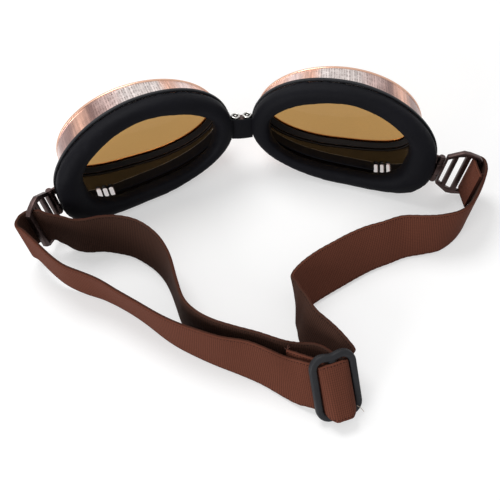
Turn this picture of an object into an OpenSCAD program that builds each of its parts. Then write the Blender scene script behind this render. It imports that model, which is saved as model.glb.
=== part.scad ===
// Aviator style goggles: two hinged copper eye cups, a cast strap bracket on each temple and one
// long elastic head strap with a three bar slider. Millimetres, +Z up, the wearer is on the -Y side.
// The origin is on the table, under the middle of the nose bridge. The goggles stand on their lower
// rims and the strap lies on its edge behind them. Each cup is modelled in a frame of its own, whose
// z axis is the bridge pin, with x towards the temple and y forward, out of the wearer's face.

/* [Stance] */
// Forward lean of the cups on the table, in degrees
pitch = 11; // [8:0.5:14]
// Turn of each cup about its bridge pin, in degrees
wrap = 12; // [6:0.5:20]
// Droop of each cup towards the temple, in degrees
droop = 5; // [2:0.5:8]

/* [Eye cup] */
// Width of the cup flange and of the face pad
flange_w = 86.8; // [84:0.2:92]
// Height of the flange above the middle line of the cup
flange_up = 28.8; // [26:0.2:32]
// Height of the flange below the middle line of the cup
flange_down = 23.4; // [22:0.2:25]
// Thickness of the flange plate
flange_t = 1.2; // [0.9:0.1:1.8]
// Step in of the side wall from the flange at the nose
wall_in_nose = 2; // [1.4:0.1:3]
// Step in of the side wall's front edge from the flange at the temple
wall_in_temple = 5.6; // [4:0.2:8]
// Height of the side wall above its middle line
wall_up = 27.3; // [25:0.1:28.5]
// Height of the side wall below its middle line
wall_down = 18.6; // [17:0.1:19]
// Distance of the wall's front edge from the bridge pin axis
wall_front = 13; // [11:0.5:17]
// Thickness of the copper wall
wall_t = 1.2; // [0.8:0.1:1.6]
// Thickness of the dark inner liner
liner_t = 1.0; // [0.7:0.1:1.4]
// Depth of the front bezel
bezel_d = 4; // [3.2:0.2:5]

/* [Lens] */
// Thickness of the lens
lens_t = 2; // [1.4:0.1:2.6]
// Width of the gasket lip that shows behind the lens
gasket_lip = 2.7; // [2:0.1:3.5]
// Thickness of the gasket
gasket_t = 1; // [0.7:0.1:1.3]

/* [Face pad] */
// Thickness of the foam pad
pad_t = 7.9; // [5:0.1:10]
// Reach of the pad below the flange, where it stands on the table
pad_drop = 1.6; // [1.2:0.1:2]
// Height of the pad's crown above its edges
pad_crown = 0.9; // [0.3:0.1:1.4]
// Step back of the temple side of the pad from its nose side
pad_sweep = 12.5; // [9:0.5:15]
// Bow of the pad between nose and temple
pad_bow = 7.6; // [5:0.2:10]

/* [Vents] */
// Number of vent slots in the lower wall
vent_n = 3; // [1:1:4]
// Width of a vent slot
vent_w = 2.1; // [1.2:0.1:2.4]
// Length of a vent slot from front to back
vent_len = 7.6; // [4:0.2:9]
// Spacing of the vent slots
vent_pitch = 2.9; // [2.7:0.1:4.2]
// Distance of the middle of the vents from the bridge pin
vent_x = 67.4; // [60:0.5:69]

/* [Bridge] */
// Distance between the two bridge pins
pin_gap = 5.6; // [5:0.1:8]
// Radius of a bridge pin
pin_r = 0.9; // [0.7:0.05:1.1]
// Radius of a bridge pin's head
head_r = 2; // [1.7:0.05:2.2]
// Height of a cup's eye on its bridge pin
eye_h = 5.9; // [4:0.1:8]
// Thickness of a link plate
link_t = 1; // [0.8:0.1:1.4]
// Width of the fabric strip over the nose
strip_h = 11; // [8:0.5:14]
// Thickness of the fabric strip
strip_t = 1.6; // [1:0.1:2.2]

/* [Strap bracket] */
// Reach of the bracket from its hinge pin
bracket_len = 18.6; // [18:0.1:21]
// Height of the bracket at the hinge
bracket_root_h = 16.4; // [15.4:0.1:17]
// Height of the bracket at its widest
bracket_h = 24.4; // [23.6:0.1:26]
// Thickness of the bracket
bracket_t = 2.2; // [1.6:0.1:2.8]
// Width of a bracket bar
bar_w = 2.3; // [1.8:0.1:2.6]
// Radius of the hinge barrel
barrel_r = 1.7; // [1.6:0.05:1.9]
// Radius of the bracket hinge pin
hinge_pin_r = 0.75; // [0.6:0.05:0.85]
// Height of the bracket's own barrel
barrel_h = 6; // [5:0.2:7]
// Lean of the bracket hinge, in degrees
hinge_tilt = 8.5; // [4:0.5:12]
// Swing of the right bracket as it lies, in degrees from straight out
swing_right = -3; // [-20:1:60]
// Swing of the left bracket as it lies, in degrees from straight out
swing_left = 53; // [-20:1:60]

/* [Strap] */
// Width of the elastic webbing
strap_w = 21.4; // [18:0.2:22]
// Thickness of the elastic webbing
strap_t = 1.5; // [1:0.1:1.6]

/* [Slider] */
// Length of the slider along the strap
slider_w = 19.8; // [19.6:0.2:24]
// Height of the slider
slider_h = 30; // [29:0.2:34]
// Thickness of the slider
slider_t = 3; // [2.2:0.1:3]
// Width of the slider's bars
slider_bar = 3; // [2.6:0.1:3]
// Backward lean of the slider, in degrees
slider_lean = 35; // [24:1:38]

/* [Fits] */
// Radial clearance of a pin that turns in its bore
running_gap = 0.05; // [0.02:0.01:0.1]
// Gap between parts that are glued or pressed together
seat_gap = 0.05; // [0.02:0.01:0.15]
// Gap beside a barrel, along its pin
barrel_gap = 0.25; // [0.15:0.05:0.4]
// Gap between the fabric strip and the pads
soft_gap = 0.35; // [0.3:0.05:0.6]

/* [Hidden] */

// Stations round each outline. The pad is soft and needs fewer.
ring_n = 72;
pad_n = 48;
round_n = 40;

// The cup outlines are rounded ovals with a different fullness in each quarter. Their order is
// low x, high x, low z, high z, middle x, middle z, then the fullness of the upper temple, upper
// nose, lower nose and lower temple quarter.
flange_x0 = 2.4;
flange_mid = [45.9, -3.5];
flange_full = [1.87, 2.13, 1.95, 3.5];
wall_x0 = flange_x0 + wall_in_nose;
wall_w = flange_w - wall_in_nose - wall_in_temple;
wall_mid = [43.8, -4.6];
wall_full = [1.97, 1.98, 2.0, 3.6];
// Width of the foam ring at the nose, the temple, the bottom and the top
pad_ring = [9.5, 13.7, 7.7, 7.3];
open_mid = [46, -0.5];
open_full = [1.75, 1.7, 2.7, 3.4];

flange_o = oval(flange_x0, flange_w, flange_down, flange_up, flange_mid, flange_full);
wall_o = oval(wall_x0, wall_w, wall_down, wall_up, wall_mid, wall_full);
pad_o = oval(flange_x0, flange_w, flange_down + pad_drop, flange_up, flange_mid, flange_full);
open_o = [
    pad_o[0] + pad_ring[0], pad_o[1] - pad_ring[1], pad_o[2] + pad_ring[2],
    pad_o[3] - pad_ring[3], open_mid[0], open_mid[1], open_full
];
// The wall spreads towards the flange, all round and more at the bottom
wall_draft = 0.4;
wall_spread = 1;
base_o = oval(
    wall_x0 - wall_draft, wall_w + 2 * wall_draft, wall_down + wall_spread, wall_up + wall_draft,
    wall_mid, wall_full
);

// Rear face of the flange at the nose, in front of the bridge pin axis
flange_nose_y = 2.2;
// The rear face is swept from a little outside the cup at the nose to inside it at the temple
sweep_x0 = -0.8;
sweep_end = 2;
sweep_w = flange_o[1] - sweep_end - sweep_x0;

// Lens seat: distance forward, and how far the lens and the gasket lip lie inside the wall
lens_y = wall_front + gasket_t + seat_gap;
lens_in = wall_t + liner_t;
lip_in = lens_in + gasket_lip;

// Bridge pin heights, from the top of the head down
head_h = 1.3;
head_top = 0.1;
plate_top = head_top - head_h;
eye_top = plate_top - link_t - 0.1;
eye_bottom = eye_top - eye_h;
plate_bottom = eye_bottom - 0.1 - link_t;
tail_h = 0.8;
eye_r = 1.9;
link_r = 2;
recess_r = 0.55;
web_t = 0.8;

// Place of the bracket hinge in the cup frame
hinge_gap = 0.4;
hinge_h = -10.5;
hinge_at = [
    flange_o[1] + barrel_r + hinge_gap, flange_y(flange_o[1]) + flange_t * 0.3, hinge_h
];
// The knuckles' ears reach into the flange and follow its slope at the temple
ear_in = 4;
ear_turn = atan((pad_sweep + pad_bow) / sweep_w);
shoulder_s = 8.8;
shoulder_len = 3;
corner_s = 2;
corner_drop = 2.4;
arm_s = 2.1;
knuckle_h = 3.6;
slot_edges = [2.9, 5.3, 7.2, 10.5, 12.8];
arm_w = 2.1;
pin_head_h = 0.35;
// Share of the webbing's width that passes a bracket, where it is gathered
gather = 0.9;
slot_room = 0.3;

// Section of the foam ring: share of its width from inside to outside, share of its thickness
// from the flange to the rear, and the share of the crown
pad_section = [
    [0.02, 0, 0], [0.98, 0, 0], [0.995, 0.15, 0], [1, 0.5, 0], [0.99, 0.8, 0], [0.9, 0.97, 0],
    [0.72, 1, 0.6], [0.5, 1, 1], [0.28, 1, 0.6], [0.1, 0.97, 0], [0.01, 0.8, 0], [0, 0.5, 0],
    [0.005, 0.15, 0]
];

// Height of the pin tops that puts the lowest point of the pads on the table
stand_h = -min([for (k = [0:pad_n - 1]) turned(pad_low(k))[2]]);

// The slider stands on its lower corner: its foot on the table and its turn about Z
slider_at = [23, -144.6];
slider_turn = 12;
slider_lift = slider_t / 2 * sin(slider_lean);
slider_slot = (slider_w - 3 * slider_bar) / 2;
corner_r = 5.5;

// Strap routes. Each row is a point of the lower edge, x, y and z, then the sideways lean of the
// webbing and its slant along the route, in degrees.
right_run = [
    [98, -55, 0.8, 5, 0], [92, -62, 0.4, -1, 0], [84, -67.5, 0.5, -13, 0], [76, -69, 0.6, -18, 0],
    [67, -70, 0.7, -27, 0], [59, -72.5, 0.7, -30, 0], [51, -75, 0.7, -34, 0], [43, -78.5, 0.7, -36, 0],
    [36, -82, 0.7, -36, 0], [28, -86, 0.7, -37, 0], [20, -90.5, 0.7, -30, 0],
    [14, -95.5, 0.6, -22, -10], [11.4, -100, 0.6, -2, -24]
];
middle_run = [
    [11.2, -104, 0.6, 8, -16], [12.2, -108.5, 0.6, 17, -6], [15, -114.5, 0.6, 24, 0],
    [19.5, -121.5, 0.6, 24, 4], [24.3, -129, 0.6, 18, 8]
];
front_run = [
    [-90, -65.5, 3.5, -10, 0], [-79, -72, 0.8, -7, 0], [-69, -77, 0.4, -9, 0], [-59.5, -84, 0.4, -11, 0],
    [-51, -92, 0.4, -9, 0], [-42, -102, 0.4, -4, 0], [-33, -109, 0.4, 1, 0],
    [-24, -115, 0.4, 5, 0], [-14, -121, 0.5, 13, 0], [-5, -127, 0.6, 14, 0]
];
back_run = [
    [-85, -47.5, 1.6, -1, 0], [-77, -50.5, 0.6, 6, 0], [-69, -51, 0.5, 11, 0], [-62, -53, 0.6, 16, 0],
    [-55, -56, 0.6, 16, 0], [-48, -62, 0.6, 13, 0], [-43, -68, 0.5, 8, 0],
    [-40, -76, 0.4, 3, 0], [-38, -85, 0.4, 1, 0], [-36, -94, 0.4, 1, 0],
    [-32, -101, 0.4, 3, 0], [-26, -107, 0.5, 6, 0], [-18, -112.5, 0.5, 10, 0],
    [-9, -117.5, 0.5, 13, 0], [0, -123, 0.6, 15, 0]
];
// Routes through the slider: along it, behind it and the height of the lower edge above its foot
turn_route = [
    [5.8, 8, 5.6], [5.7, 4, 4.2], [5.6, 1, 3.8], [5, -1.7, 3.6], [3.2, -3.7, 3.6], [0, -4.2, 3.6],
    [-3, -3.8, 3.6], [-4.6, -1.9, 3.6], [-5.2, 0.4, 3.7], [-6.2, 2.7, 4], [-8.8, 4.2, 5],
    [-12, 6.7, 6], [-15.5, 9.8, 6.8]
];
tail_route = [
    [-9, 14.5, 9.2], [-4, 12.6, 8.6], [0.2, 9.6, 7], [2.6, 5.6, 5], [3.2, 1.6, 4], [2.4, -1.7, 3.6],
    [0, -2.5, 3.6], [-2.2, -1.7, 3.6], [-2.8, 0.8, 3.8], [-3.8, 3.6, 4.6], [-6.3, 5.8, 5.6],
    [-10.4, 8.9, 7.4], [-14.2, 12, 9]
];
// Routes round the outer bars of the brackets: past the bracket's end and forward of it
right_loop_route = [
    [-3, -9], [-3.5, -4.5], [-3.7, 0], [-3, 2.1], [-1.1, 2.7], [0.9, 2], [1.7, -0.8], [1.4, -4.5],
    [0.4, -9]
];
left_loop_route = [
    [-5.2, -7], [-4.4, -3.5], [-4, 0], [-3.1, 2.9], [-0.2, 4.8], [4, 4.4], [7.2, 1.2], [8.8, -4.5]
];
loop_steps = 3;
// Threads between the two ends of the right loop
loop_ends = [right_loop_route[0][0], right_loop_route[len(right_loop_route) - 1][0]];
thread_t = 0.8;
stitch_gap = 0.1;
stitch_up = 0.4;
stitch_in = 3;

// Plain geometry

// An oval from its low x, its width, its heights below and above the middle and its fullness
function oval(x0, w, down, up, mid, full) =
    [x0, x0 + w, mid[1] - down, mid[1] + up, mid[0], mid[1], full];

function sign1(v) = v < 0 ? -1 : 1;

// Point of an oval at an angle, moved outward by grow
function oval_pt(o, a, grow = 0) =
    let (
        c = cos(a), s = sin(a),
        q = s >= 0 ? (c >= 0 ? 0 : 1) : (c < 0 ? 2 : 3),
        n = o[6][q],
        rx = c >= 0 ? o[1] - o[4] : o[4] - o[0],
        rz = s >= 0 ? o[3] - o[5] : o[5] - o[2],
        p = [o[4] + sign1(c) * rx * pow(abs(c), 2 / n), o[5] + sign1(s) * rz * pow(abs(s), 2 / n)],
        g = [sign1(c) * pow(abs(c), 2 - 2 / n) / rx, sign1(s) * pow(abs(s), 2 - 2 / n) / rz]
    )
    p + grow * g / norm(g);

// Rear face of the flange, measured forward, at a distance from the nose
function flange_y(x) =
    let (t = (x - sweep_x0) / sweep_w)
    flange_nose_y - pad_sweep * t + pad_bow * t * (1 - t);

// One ring of points. A row is an oval, its growth, 1 to follow the flange or 0 for a flat ring,
// and the distance forward.
function ring(row, n) = [
    for (k = [0:n - 1])
    let (p = oval_pt(row[0], 360 * k / n, row[1]))
    [p[0], row[2] * flange_y(p[0]) + row[3], p[1]]
];

// Closed ring solid through several rings, joined end to end.
module ring_solid(rows, n) {
    m = len(rows);
    polyhedron(
        points = [for (r = rows) each ring(r, n)],
        faces = [
            for (i = [0:m - 1], k = [0:n - 1])
            let (a = i * n + k, b = i * n + (k + 1) % n, c = (i + 1) % m * n + (k + 1) % n,
                 d = (i + 1) % m * n + k)
            each [[a, b, c], [a, c, d]]
        ]
    );
}

// Cup frames

// Direction and place of a point of the right cup after the wrap, the droop and the forward lean
function spin_x(p, a) = [p[0], p[1] * cos(a) - p[2] * sin(a), p[1] * sin(a) + p[2] * cos(a)];
function spin_y(p, a) = [p[0] * cos(a) + p[2] * sin(a), p[1], -p[0] * sin(a) + p[2] * cos(a)];
function spin_z(p, a) = [p[0] * cos(a) - p[1] * sin(a), p[0] * sin(a) + p[1] * cos(a), p[2]];
function turned(p) = spin_x([pin_gap / 2, 0, 0] + spin_z(spin_y(p, droop), -wrap), -pitch);
function to_side(p, side) = [side * p[0], p[1], p[2]];

// Point of a bracket, along it, forward of it and up, in the part frame
function bracket_pt(side, s, f, h) =
    let (
        swing = side > 0 ? swing_right : swing_left,
        q = hinge_at + spin_y(spin_z([s, f, h], -swing), hinge_tilt)
    )
    to_side(turned(q) + [0, 0, stand_h], side);

// Point of the slider, along it, behind it and up it, in the part frame
function slider_pt(e, f, h) =
    [slider_at[0], slider_at[1], slider_lift] + spin_z(spin_x([e, f, h], -slider_lean), slider_turn);

module pin_place(side)
    translate([0, 0, stand_h]) rotate([-pitch, 0, 0]) mirror([side < 0 ? 1 : 0, 0, 0])
        translate([pin_gap / 2, 0, 0]) rotate([0, 0, -wrap]) children();

module cup_place(side) pin_place(side) rotate([0, droop, 0]) children();

module hinge_place(side) cup_place(side) translate(hinge_at) rotate([0, hinge_tilt, 0]) children();

module bracket_place(side)
    hinge_place(side) rotate([0, 0, side > 0 ? -swing_right : -swing_left]) children();

module slider_place()
    translate([slider_at[0], slider_at[1], slider_lift]) rotate([0, 0, slider_turn])
        rotate([-slider_lean, 0, 0]) children();

// Cup parts

module vent_cuts()
    for (i = [0:vent_n - 1])
        translate([vent_x + (i - (vent_n - 1) / 2) * vent_pitch, 0, 0]) {
            y1 = flange_y(vent_x) + flange_t + vent_w / 2;
            y2 = y1 + vent_len - vent_w;
            for (y = [y1, y2])
                translate([0, y, base_o[2] - 1])
                    cylinder(r = vent_w / 2, h = 8, $fn = 24);
            translate([-vent_w / 2, y1, base_o[2] - 1])
                cube([vent_w, y2 - y1, 8]);
        }

// Eye that turns on the bridge pin, with its arm to the flange
module nose_eye()
    difference() {
        translate([0, 0, eye_bottom])
            union() {
                cylinder(r = eye_r, h = eye_h, $fn = round_n);
                translate([-0.9, 0, 0])
                    cube([0.9 + eye_r, flange_nose_y + flange_t, eye_h]);
                translate([-0.9, flange_nose_y, 0])
                    cube([flange_x0 + 3.1, flange_t, eye_h]);
            }
        translate([0, 0, eye_bottom - 1])
            cylinder(r = pin_r + running_gap, h = eye_h + 2, $fn = round_n);
    }

// The two cup knuckles above and below the bracket's barrel, on ears of the flange
module cup_knuckles()
    for (k = [-1, 1])
        translate([0, 0, k * (barrel_h / 2 + barrel_gap + knuckle_h / 2)])
            difference() {
                union() {
                    cylinder(r = barrel_r, h = knuckle_h, center = true, $fn = round_n);
                    rotate([0, 0, -ear_turn])
                        translate([-barrel_r - ear_in, -flange_t / 2, -knuckle_h / 2])
                            cube([barrel_r + ear_in, flange_t, knuckle_h]);
                }
                cylinder(r = hinge_pin_r + running_gap, h = knuckle_h + 1, center = true, $fn = round_n);
            }

module cup_frame(side)
    color("peru") {
        cup_place(side)
            difference() {
                ring_solid([
                    [flange_o, 0, 1, 0],
                    [flange_o, 0, 1, flange_t],
                    [base_o, 0.6, 1, flange_t],
                    [base_o, 0, 1, flange_t + 1],
                    [wall_o, 0, 0, wall_front],
                    [wall_o, -wall_t, 0, wall_front],
                    [base_o, -wall_t, 1, 0]
                ], ring_n);
                vent_cuts();
            }
        pin_place(side) nose_eye();
        hinge_place(side) cup_knuckles();
    }

module liner(side)
    color("saddlebrown") cup_place(side)
        difference() {
            ring_solid([
                [base_o, -wall_t - seat_gap, 1, 0],
                [wall_o, -wall_t - seat_gap, 0, wall_front],
                [wall_o, -wall_t - seat_gap - liner_t, 0, wall_front],
                [base_o, -wall_t - seat_gap - liner_t, 1, 0]
            ], ring_n);
            vent_cuts();
        }

module bezel(side)
    color("peru") cup_place(side)
        ring_solid([
            [wall_o, 0, 0, wall_front + seat_gap],
            [wall_o, 0.25, 0, wall_front + 0.6],
            [wall_o, 0.1, 0, wall_front + 1.4],
            [wall_o, -0.9, 0, wall_front + bezel_d * 0.68],
            [wall_o, -2.2, 0, wall_front + bezel_d * 0.93],
            [wall_o, -3.6, 0, wall_front + bezel_d],
            [wall_o, -lip_in, 0, wall_front + bezel_d - 0.2],
            [wall_o, -lip_in, 0, lens_y + lens_t + seat_gap],
            [wall_o, -lens_in + seat_gap, 0, lens_y + lens_t + seat_gap],
            [wall_o, -lens_in + seat_gap, 0, wall_front + seat_gap]
        ], ring_n);

module gasket(side)
    color("dimgray") cup_place(side)
        ring_solid([
            [wall_o, -lens_in, 0, wall_front + seat_gap],
            [wall_o, -lens_in, 0, wall_front + gasket_t],
            [wall_o, -lip_in, 0, wall_front + gasket_t],
            [wall_o, -lip_in, 0, wall_front + gasket_t * 0.6],
            [wall_o, -lip_in + 1.4, 0, wall_front + seat_gap]
        ], ring_n);

module lens(side)
    color([0.65, 0.53, 0.32, 0.5]) cup_place(side)
        translate([0, lens_y + lens_t, 0]) rotate([90, 0, 0])
            linear_extrude(lens_t)
                polygon([for (k = [0:ring_n - 1]) oval_pt(wall_o, 360 * k / ring_n, -lens_in)]);

function pad_pt(k, sec) =
    let (
        a = 360 * k / pad_n,
        swell = min(1, sec[1] / 0.8),
        edge = oval_pt(flange_o, a) * (1 - swell) + oval_pt(pad_o, a) * swell,
        p = oval_pt(open_o, a) * (1 - sec[0]) + edge * sec[0]
    )
    [p[0], flange_y(p[0]) - seat_gap - sec[1] * pad_t - sec[2] * pad_crown, p[1]];

// Lowest point of the pad's section at one station
function pad_low(k) =
    let (z = [for (sec = pad_section) turned(pad_pt(k, sec))[2]])
    pad_pt(k, pad_section[search(min(z), z)[0]]);

module face_pad(side) {
    m = len(pad_section);
    color([0.12, 0.12, 0.14]) cup_place(side)
        polyhedron(
            points = [for (sec = pad_section, k = [0:pad_n - 1]) pad_pt(k, sec)],
            faces = [
                for (i = [0:m - 1], k = [0:pad_n - 1])
                let (a = i * pad_n + k, b = i * pad_n + (k + 1) % pad_n,
                     c = (i + 1) % m * pad_n + (k + 1) % pad_n, d = (i + 1) % m * pad_n + k)
                each [[a, c, b], [a, d, c]]
            ]
        );
}

// Bridge parts

module bridge_pin(side)
    color("silver") pin_place(side)
        difference() {
            union() {
                translate([0, 0, plate_bottom - tail_h])
                    cylinder(r = pin_r, h = plate_top - plate_bottom + tail_h + 0.5, $fn = round_n);
                translate([0, 0, plate_top + seat_gap])
                    rotate_extrude($fn = round_n)
                        polygon([
                            [0, 0], [head_r, 0], [head_r, head_h * 0.4], [head_r * 0.8, head_h * 0.8],
                            [head_r * 0.45, head_h], [0, head_h]
                        ]);
                translate([0, 0, plate_bottom - tail_h])
                    cylinder(r = pin_r + 0.6, h = tail_h - seat_gap, $fn = round_n);
            }
            translate([0, 0, head_top - 0.7])
                cylinder(r = recess_r, h = 2, $fn = 24);
        }

module link_plate()
    difference() {
        union() {
            for (k = [-1, 1])
                translate([k * pin_gap / 2, 0, 0])
                    cylinder(r = link_r, h = link_t, $fn = round_n);
            translate([-pin_gap / 2, -link_r, 0])
                cube([pin_gap, 2 * link_r, link_t]);
        }
        for (k = [-1, 1])
            translate([k * pin_gap / 2, 0, -1])
                cylinder(r = pin_r + running_gap, h = link_t + 2, $fn = round_n);
    }

module bridge_link()
    color("silver") translate([0, 0, stand_h]) rotate([-pitch, 0, 0]) {
        translate([0, 0, plate_top - link_t])
            link_plate();
        translate([0, 0, plate_bottom])
            link_plate();
        translate([-web_t / 2, -1.5, plate_bottom])
            cube([web_t, 3, plate_top - plate_bottom]);
    }

// Fabric strip over the nose, between the inner sides of the pads
module nose_strip() {
    half = turned(pad_pt(pad_n / 2, [1, 0.5, 0]))[0] - soft_gap;
    color([0.12, 0.12, 0.14]) translate([0, 0, stand_h]) rotate([-pitch, 0, 0])
        translate([-half, -head_r - 0.6 - strip_t, head_top - strip_h])
            cube([2 * half, strip_t, strip_h]);
}

// Bracket parts

// Upper outline of the bracket, along it and up, and its half height at a distance from the hinge
bracket_edge = [
    [arm_s, bracket_root_h / 2], [shoulder_s, bracket_h / 2], [shoulder_s + shoulder_len, bracket_h / 2],
    [bracket_len - corner_s, bracket_h / 2 - 0.9], [bracket_len, bracket_h / 2 - corner_drop]
];
function bracket_half(s) = lookup(s, bracket_edge);

module bracket_plate() {
    strap_slot = [slot_edges[4], bracket_len - bar_w];
    slots = [[slot_edges[0], slot_edges[1]], [slot_edges[2], slot_edges[3]], strap_slot];
    translate([0, bracket_t / 2, 0]) rotate([90, 0, 0])
        linear_extrude(bracket_t)
            difference() {
                polygon(concat(bracket_edge, [for (p = reversed(bracket_edge)) [p[0], -p[1]]]));
                for (s = slots) {
                    strap = strap_w * gather / 2 + slot_room;
                    inner = s == strap_slot ? strap : bracket_half(s[0]) - arm_w;
                    outer = s == strap_slot ? strap : bracket_half(s[1]) - arm_w;
                    polygon([[s[0], -inner], [s[1], -outer], [s[1], outer], [s[0], inner]]);
                }
            }
}

module bracket(side)
    color("saddlebrown") bracket_place(side)
        difference() {
            union() {
                bracket_plate();
                cylinder(r = barrel_r, h = barrel_h, center = true, $fn = round_n);
                translate([0, -bracket_t / 2, -barrel_h / 2])
                    cube([arm_s + 0.5, bracket_t, barrel_h]);
            }
            cylinder(r = hinge_pin_r + running_gap, h = barrel_h + 2, center = true, $fn = round_n);
        }

module bracket_pin(side) {
    reach = barrel_h / 2 + barrel_gap + knuckle_h + seat_gap;
    color("gray") hinge_place(side) {
        cylinder(r = hinge_pin_r, h = 2 * reach, center = true, $fn = round_n);
        for (k = [-1, 1])
            translate([0, 0, k * (reach + pin_head_h / 2)])
                cylinder(r = hinge_pin_r + 0.6, h = pin_head_h, center = true, $fn = round_n);
    }
}

// Webbing. A station is a point of the lower edge and the direction of the width.

function unit(v) = v / norm(v);

// Station k of a run, with the travel direction taken from its neighbours
function run_station(run, k) =
    let (
        r = run[k],
        to = run[min(k + 1, len(run) - 1)] - run[max(k - 1, 0)],
        t = unit([to[0], to[1], 0])
    )
    [[r[0], r[1], r[2]], unit([0, 0, cos(r[3])] + [-t[1], t[0], 0] * sin(r[3]) + t * sin(r[4]))];
function run_band(run) = [for (k = [0:len(run) - 1]) run_station(run, k)];

function bracket_station(side, r) =
    let (x = bracket_len + r[0])
    [bracket_pt(side, x, r[1], -gather * strap_w / 2),
     gather * (bracket_pt(side, x, r[1], 1) - bracket_pt(side, x, r[1], 0))];

function slider_station(r) = [slider_pt(r[0], r[1], r[2]), slider_pt(0, 0, 1) - slider_pt(0, 0, 0)];

function reversed(list) = [for (i = [len(list) - 1:-1:0]) list[i]];

right_loop = [for (r = right_loop_route) bracket_station(1, r)];
left_loop = [for (r = left_loop_route) bracket_station(-1, r)];
right_band = run_band(right_run);
middle_band = run_band(middle_run);
front_band = run_band(front_run);
back_band = run_band(back_run);
turn_band = [for (r = turn_route) slider_station(r)];
tail_band = [for (r = tail_route) slider_station(r)];

// The webbing is one band: round the right bracket, to the slider, through it, round the left
// bracket and back to the slider's middle bar
band = concat(
    right_loop, right_band, middle_band, turn_band, reversed(front_band), reversed(left_loop),
    back_band, tail_band
);
i_right = len(right_loop) - 1;
i_middle = i_right + len(right_band);
i_turn = i_middle + len(middle_band) + 1;
i_front = i_turn + len(turn_band) - 1;
i_left = i_front + len(front_band) + 1;
i_back = i_left + len(left_loop) - 1;
i_tail = i_back + len(back_band) + 1;
i_end = len(band) - 1;

// Smooth curve through the stations, at a share u of the way from station i to the next
function smooth(a, b, c, d, u) =
    0.5 * (2 * b + (c - a) * u + (2 * a - 5 * b + 4 * c - d) * u * u
        + (3 * b - a - 3 * c + d) * u * u * u);
function at(i) = band[max(0, min(len(band) - 1, i))];
function band_at(i, u, j) = smooth(at(i - 1)[j], at(i)[j], at(i + 1)[j], at(i + 2)[j], u);

// The four corners of the webbing at a place on the band
function band_corners(i, u) =
    let (
        p = band_at(i, u, 0),
        w = band_at(i, u, 1),
        t = unit(band_at(i, u + 0.05, 0) - band_at(i, u - 0.05, 0)),
        f = unit(cross(t, w)) * strap_t / 2
    )
    [p - f, p + f, p + f + w * strap_w, p - f + w * strap_w];

module band_piece(from, to, steps) {
    rings = [
        for (i = [from:to - 1], s = [0:steps - 1]) band_corners(i, s / steps),
        band_corners(to, 0)
    ];
    m = len(rings);
    polyhedron(
        points = [for (r = rings) each r],
        faces = concat(
            [[0, 2, 1], [0, 3, 2], [4 * m - 4, 4 * m - 3, 4 * m - 2], [4 * m - 4, 4 * m - 2, 4 * m - 1]],
            [
                for (i = [0:m - 2], k = [0:3])
                let (a = 4 * i + k, b = 4 * i + (k + 1) % 4)
                each [[a, b + 4, a + 4], [a, b, b + 4]]
            ]
        )
    );
}

module webbing() color([0.36, 0.17, 0.12]) children();

// Three threads that close the right loop
module loop_stitch()
    color("sienna")
        for (h = [stitch_in, strap_w / 2, strap_w - stitch_in])
            bracket_place(1)
                translate([
                    bracket_len + loop_ends[0] + strap_t / 2 + stitch_gap,
                    right_loop_route[0][1] + stitch_up,
                    h - (strap_w + thread_t) / 2
                ])
                    cube([
                        loop_ends[1] - loop_ends[0] - strap_t - 2 * stitch_gap, thread_t, thread_t
                    ]);

// Slider

module slider_outline(inset)
    hull()
        for (x = [-1, 1], z = [0, 1])
            translate([x * (slider_w / 2 - corner_r), z ? slider_h - corner_r : corner_r])
                circle(r = corner_r - inset, $fn = 32);

module slider()
    color([0.1, 0.1, 0.12]) slider_place()
        translate([0, slider_t / 2, 0]) rotate([90, 0, 0])
            difference() {
                linear_extrude(slider_t)
                    slider_outline(0);
                for (k = [-1, 1])
                    translate([k * (slider_bar + slider_slot) / 2 - slider_slot / 2, slider_bar, -1])
                        cube([slider_slot, slider_h - 2 * slider_bar, slider_t + 2]);
            }

bridge_link();
bridge_pin(-1);  // left_bridge_pin
bridge_pin(1);  // right_bridge_pin
nose_strip();
cup_frame(-1);  // left_cup_frame
liner(-1);  // left_liner
bezel(-1);  // left_bezel
gasket(-1);  // left_gasket
lens(-1);  // left_lens
face_pad(-1);  // left_face_pad
bracket(-1);  // left_bracket
bracket_pin(-1);  // left_bracket_pin
webbing() band_piece(i_left, i_back, loop_steps);  // left_strap_loop
cup_frame(1);  // right_cup_frame
liner(1);  // right_liner
bezel(1);  // right_bezel
gasket(1);  // right_gasket
lens(1);  // right_lens
face_pad(1);  // right_face_pad
bracket(1);  // right_bracket
bracket_pin(1);  // right_bracket_pin
webbing() band_piece(0, i_right, loop_steps);  // right_strap_loop
loop_stitch();  // right_loop_stitch
webbing() band_piece(i_right, i_middle, 3);  // strap_right
webbing() band_piece(i_middle, i_turn, 3);  // strap_middle
webbing() band_piece(i_front, i_left, 3);  // strap_left_front
webbing() band_piece(i_back, i_tail, 3);  // strap_left_back
slider();
webbing() band_piece(i_turn, i_front, loop_steps);  // strap_slider_turn
webbing() band_piece(i_tail, i_end, loop_steps);  // strap_tail
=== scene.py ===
"""Looks of a pair of hinged copper goggles with an elastic head strap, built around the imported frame."""

import math

import bmesh
import bpy
import numpy as np
from mathutils import Matrix, Vector


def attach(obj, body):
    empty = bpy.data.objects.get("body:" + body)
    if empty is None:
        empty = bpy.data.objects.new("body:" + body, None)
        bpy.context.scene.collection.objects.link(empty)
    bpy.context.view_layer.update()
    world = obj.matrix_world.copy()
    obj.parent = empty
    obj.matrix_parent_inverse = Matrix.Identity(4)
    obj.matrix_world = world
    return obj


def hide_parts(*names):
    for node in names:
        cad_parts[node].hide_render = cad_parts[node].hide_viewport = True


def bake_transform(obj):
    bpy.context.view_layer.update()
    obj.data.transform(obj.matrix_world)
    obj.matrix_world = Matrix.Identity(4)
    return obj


bl_info = {
    "name": "Copper Goggles",
    "version": (1, 0, 0),
    "blender": (4, 5, 0),
    "location": "View3D > Sidebar > Goggles",
    "description": "Builds the finished pieces of a pair of copper goggles",
    "category": "Add Mesh",
}

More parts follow.
